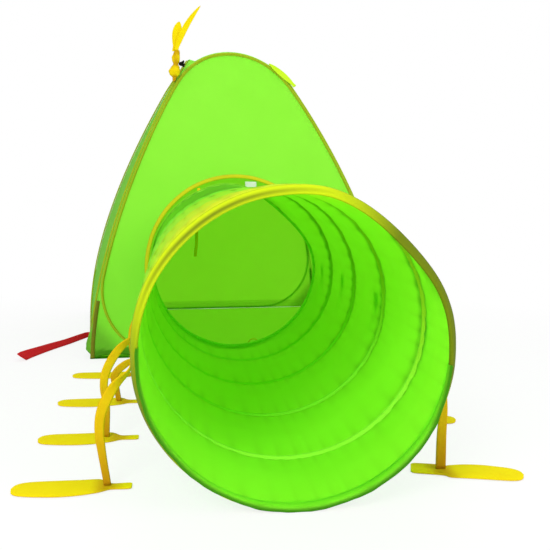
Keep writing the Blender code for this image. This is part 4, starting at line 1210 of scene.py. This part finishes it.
top, _ = door_point(radians(116), DOOR_R - 0.0039, -0.00075)
ribbon_top = top + Vector((0, 0, -0.0038))
points = [ribbon_top.lerp(top + turned @ Vector((-0.010, 0, -0.205)), i / 30) for i in range(31)]
for i, p in enumerate(points):
    p += turned @ Vector((0.0012 * sin(i * 0.33), 0.0010 * sin(i * 0.21), 0))
ribbon = swept("doorway_ribbon", hung(points), flat_profile(0.0045, 0.0012))
finish_piece(ribbon, yellow_felt, "ribbon", "tie_ribbon")

top, _ = door_point(radians(80), DOOR_R - 0.0036, -0.00075)
points = [top + Vector((0, 0, -0.0050 - 0.0330 * i / 12)) for i in range(13)]
tag = swept("plain_tag", hung(points), flat_profile(0.017, 0.001))
finish_piece(tag, white_satin, "tag", "blank_tag")

# %% The bow on the floor
bow_at = Vector((TUNNEL_SIDE + 0.060, TUNNEL_REAR_Y + 0.012, 0.0018))
frames = []
for i in range(61):
    a = pi * (i - 6) / 48
    a = min(max(a, 0.0), pi)
    drop = max(6 - i, i - 54, 0) / 6
    up = Vector((cos(a), 0, sin(a)))
    p = bow_at + up * 0.017 + Vector((0, 0, 0.0102 * (1 - drop)))
    frames.append((p, Vector((0, 1, 0)), up, 1.0))
bow = swept("floor_tie_loop", frames, flat_profile(0.004, 0.0012))
finish_piece(bow, yellow_felt, "tent", "tie_bow")

# %% [markdown]
# ## Floor, light and background
# The part stands on a plain pale floor. A large soft lamp stands behind the camera's left
# shoulder, a weaker one to the right, and the pale world fills the rest. A lamp strong
# enough to whiten the floor would bleach the cloth, so the floor and the world are white
# only for what the camera, a reflection or a clear piece sees of them.

# %% Rays that see the white
def seen_share(tree):
    """1 for a ray from the camera, a reflection or a clear piece, and 0 for light."""
    path = add(tree, "ShaderNodeLightPath").outputs
    seen = path["Is Camera Ray"]
    for ray in ("Is Glossy Ray", "Is Transmission Ray"):
        seen = add(tree, "ShaderNodeMath", {"operation": "MAXIMUM"}, _0=seen,
                   _1=path[ray]).outputs["Value"]
    return seen


# %% Floor
deselect()
bpy.ops.mesh.primitive_plane_add(size=14, location=(0, 0, 0))
ground = bpy.context.object
ground.name = "studio_floor"
pale = bpy.data.materials.new("pale_painted_floor")
pale.use_nodes = True
tree = pale.node_tree
shader = tree.nodes["Principled BSDF"]
shader.inputs["Base Color"].default_value = srgb("#F4F4F4")
shader.inputs["Roughness"].default_value = 0.7
place = add(tree, "ShaderNodeTexCoord").outputs["Object"]
far = add(tree, "ShaderNodeVectorMath", {"operation": "DISTANCE"}, _0=place,
          _1=(0.0, -0.8, 0.0)).outputs["Value"]
whiter = add(tree, "ShaderNodeMapRange", Value=far, From_Min=0.9, From_Max=1.8, To_Min=0.80,
             To_Max=1.0).outputs["Result"]
share = add(tree, "ShaderNodeMath", {"operation": "MULTIPLY"}, _0=seen_share(tree),
            _1=whiter).outputs["Value"]
white = add(tree, "ShaderNodeEmission", Color=(1.0, 1.0, 1.0, 1.0), Strength=1.0)
mixed = add(tree, "ShaderNodeMixShader", _0=share, _1=shader.outputs["BSDF"],
            _2=white.outputs["Emission"])
tree.links.new(mixed.outputs["Shader"], tree.nodes["Material Output"].inputs["Surface"])
ground.data.materials.append(pale)
print("floor:", pale.name)

# %% World
world = bpy.data.worlds.new("pale_studio")
bpy.context.scene.world = world
world.use_nodes = True
tree = world.node_tree
dim = tree.nodes["Background"]
dim.inputs["Color"].default_value = (1.0, 1.0, 1.0, 1.0)
dim.inputs["Strength"].default_value = 0.55
white = add(tree, "ShaderNodeBackground", Color=(1.0, 1.0, 1.0, 1.0), Strength=1.0)
mixed = add(tree, "ShaderNodeMixShader", _0=seen_share(tree), _1=dim.outputs["Background"],
            _2=white.outputs["Background"])
tree.links.new(mixed.outputs["Shader"], tree.nodes["World Output"].inputs["Surface"])

# %% Lamps
def soft_lamp(name, at, aim, size, watts):
    """A round area lamp that faces a point."""
    deselect()
    bpy.ops.object.light_add(type="AREA", location=at)
    lamp = bpy.context.object
    lamp.name = name
    lamp.data.shape = "DISK"
    lamp.data.size = size
    lamp.data.energy = watts
    lamp.rotation_euler = (Vector(aim) - Vector(at)).to_track_quat("-Z", "Y").to_euler()
    print(name, watts, "W")


soft_lamp("key_softbox", (-1.2, -3.6, 1.9), (0, -0.4, 0.4), 1.4, 62)
soft_lamp("fill_softbox", (2.0, -3.0, 1.6), (0, -0.4, 0.3), 1.8, 26)
soft_lamp("top_softbox", (0.2, 0.2, 2.8), (0, -0.3, 0.2), 2.2, 22)
bpy.context.scene.view_settings.view_transform = "Standard"
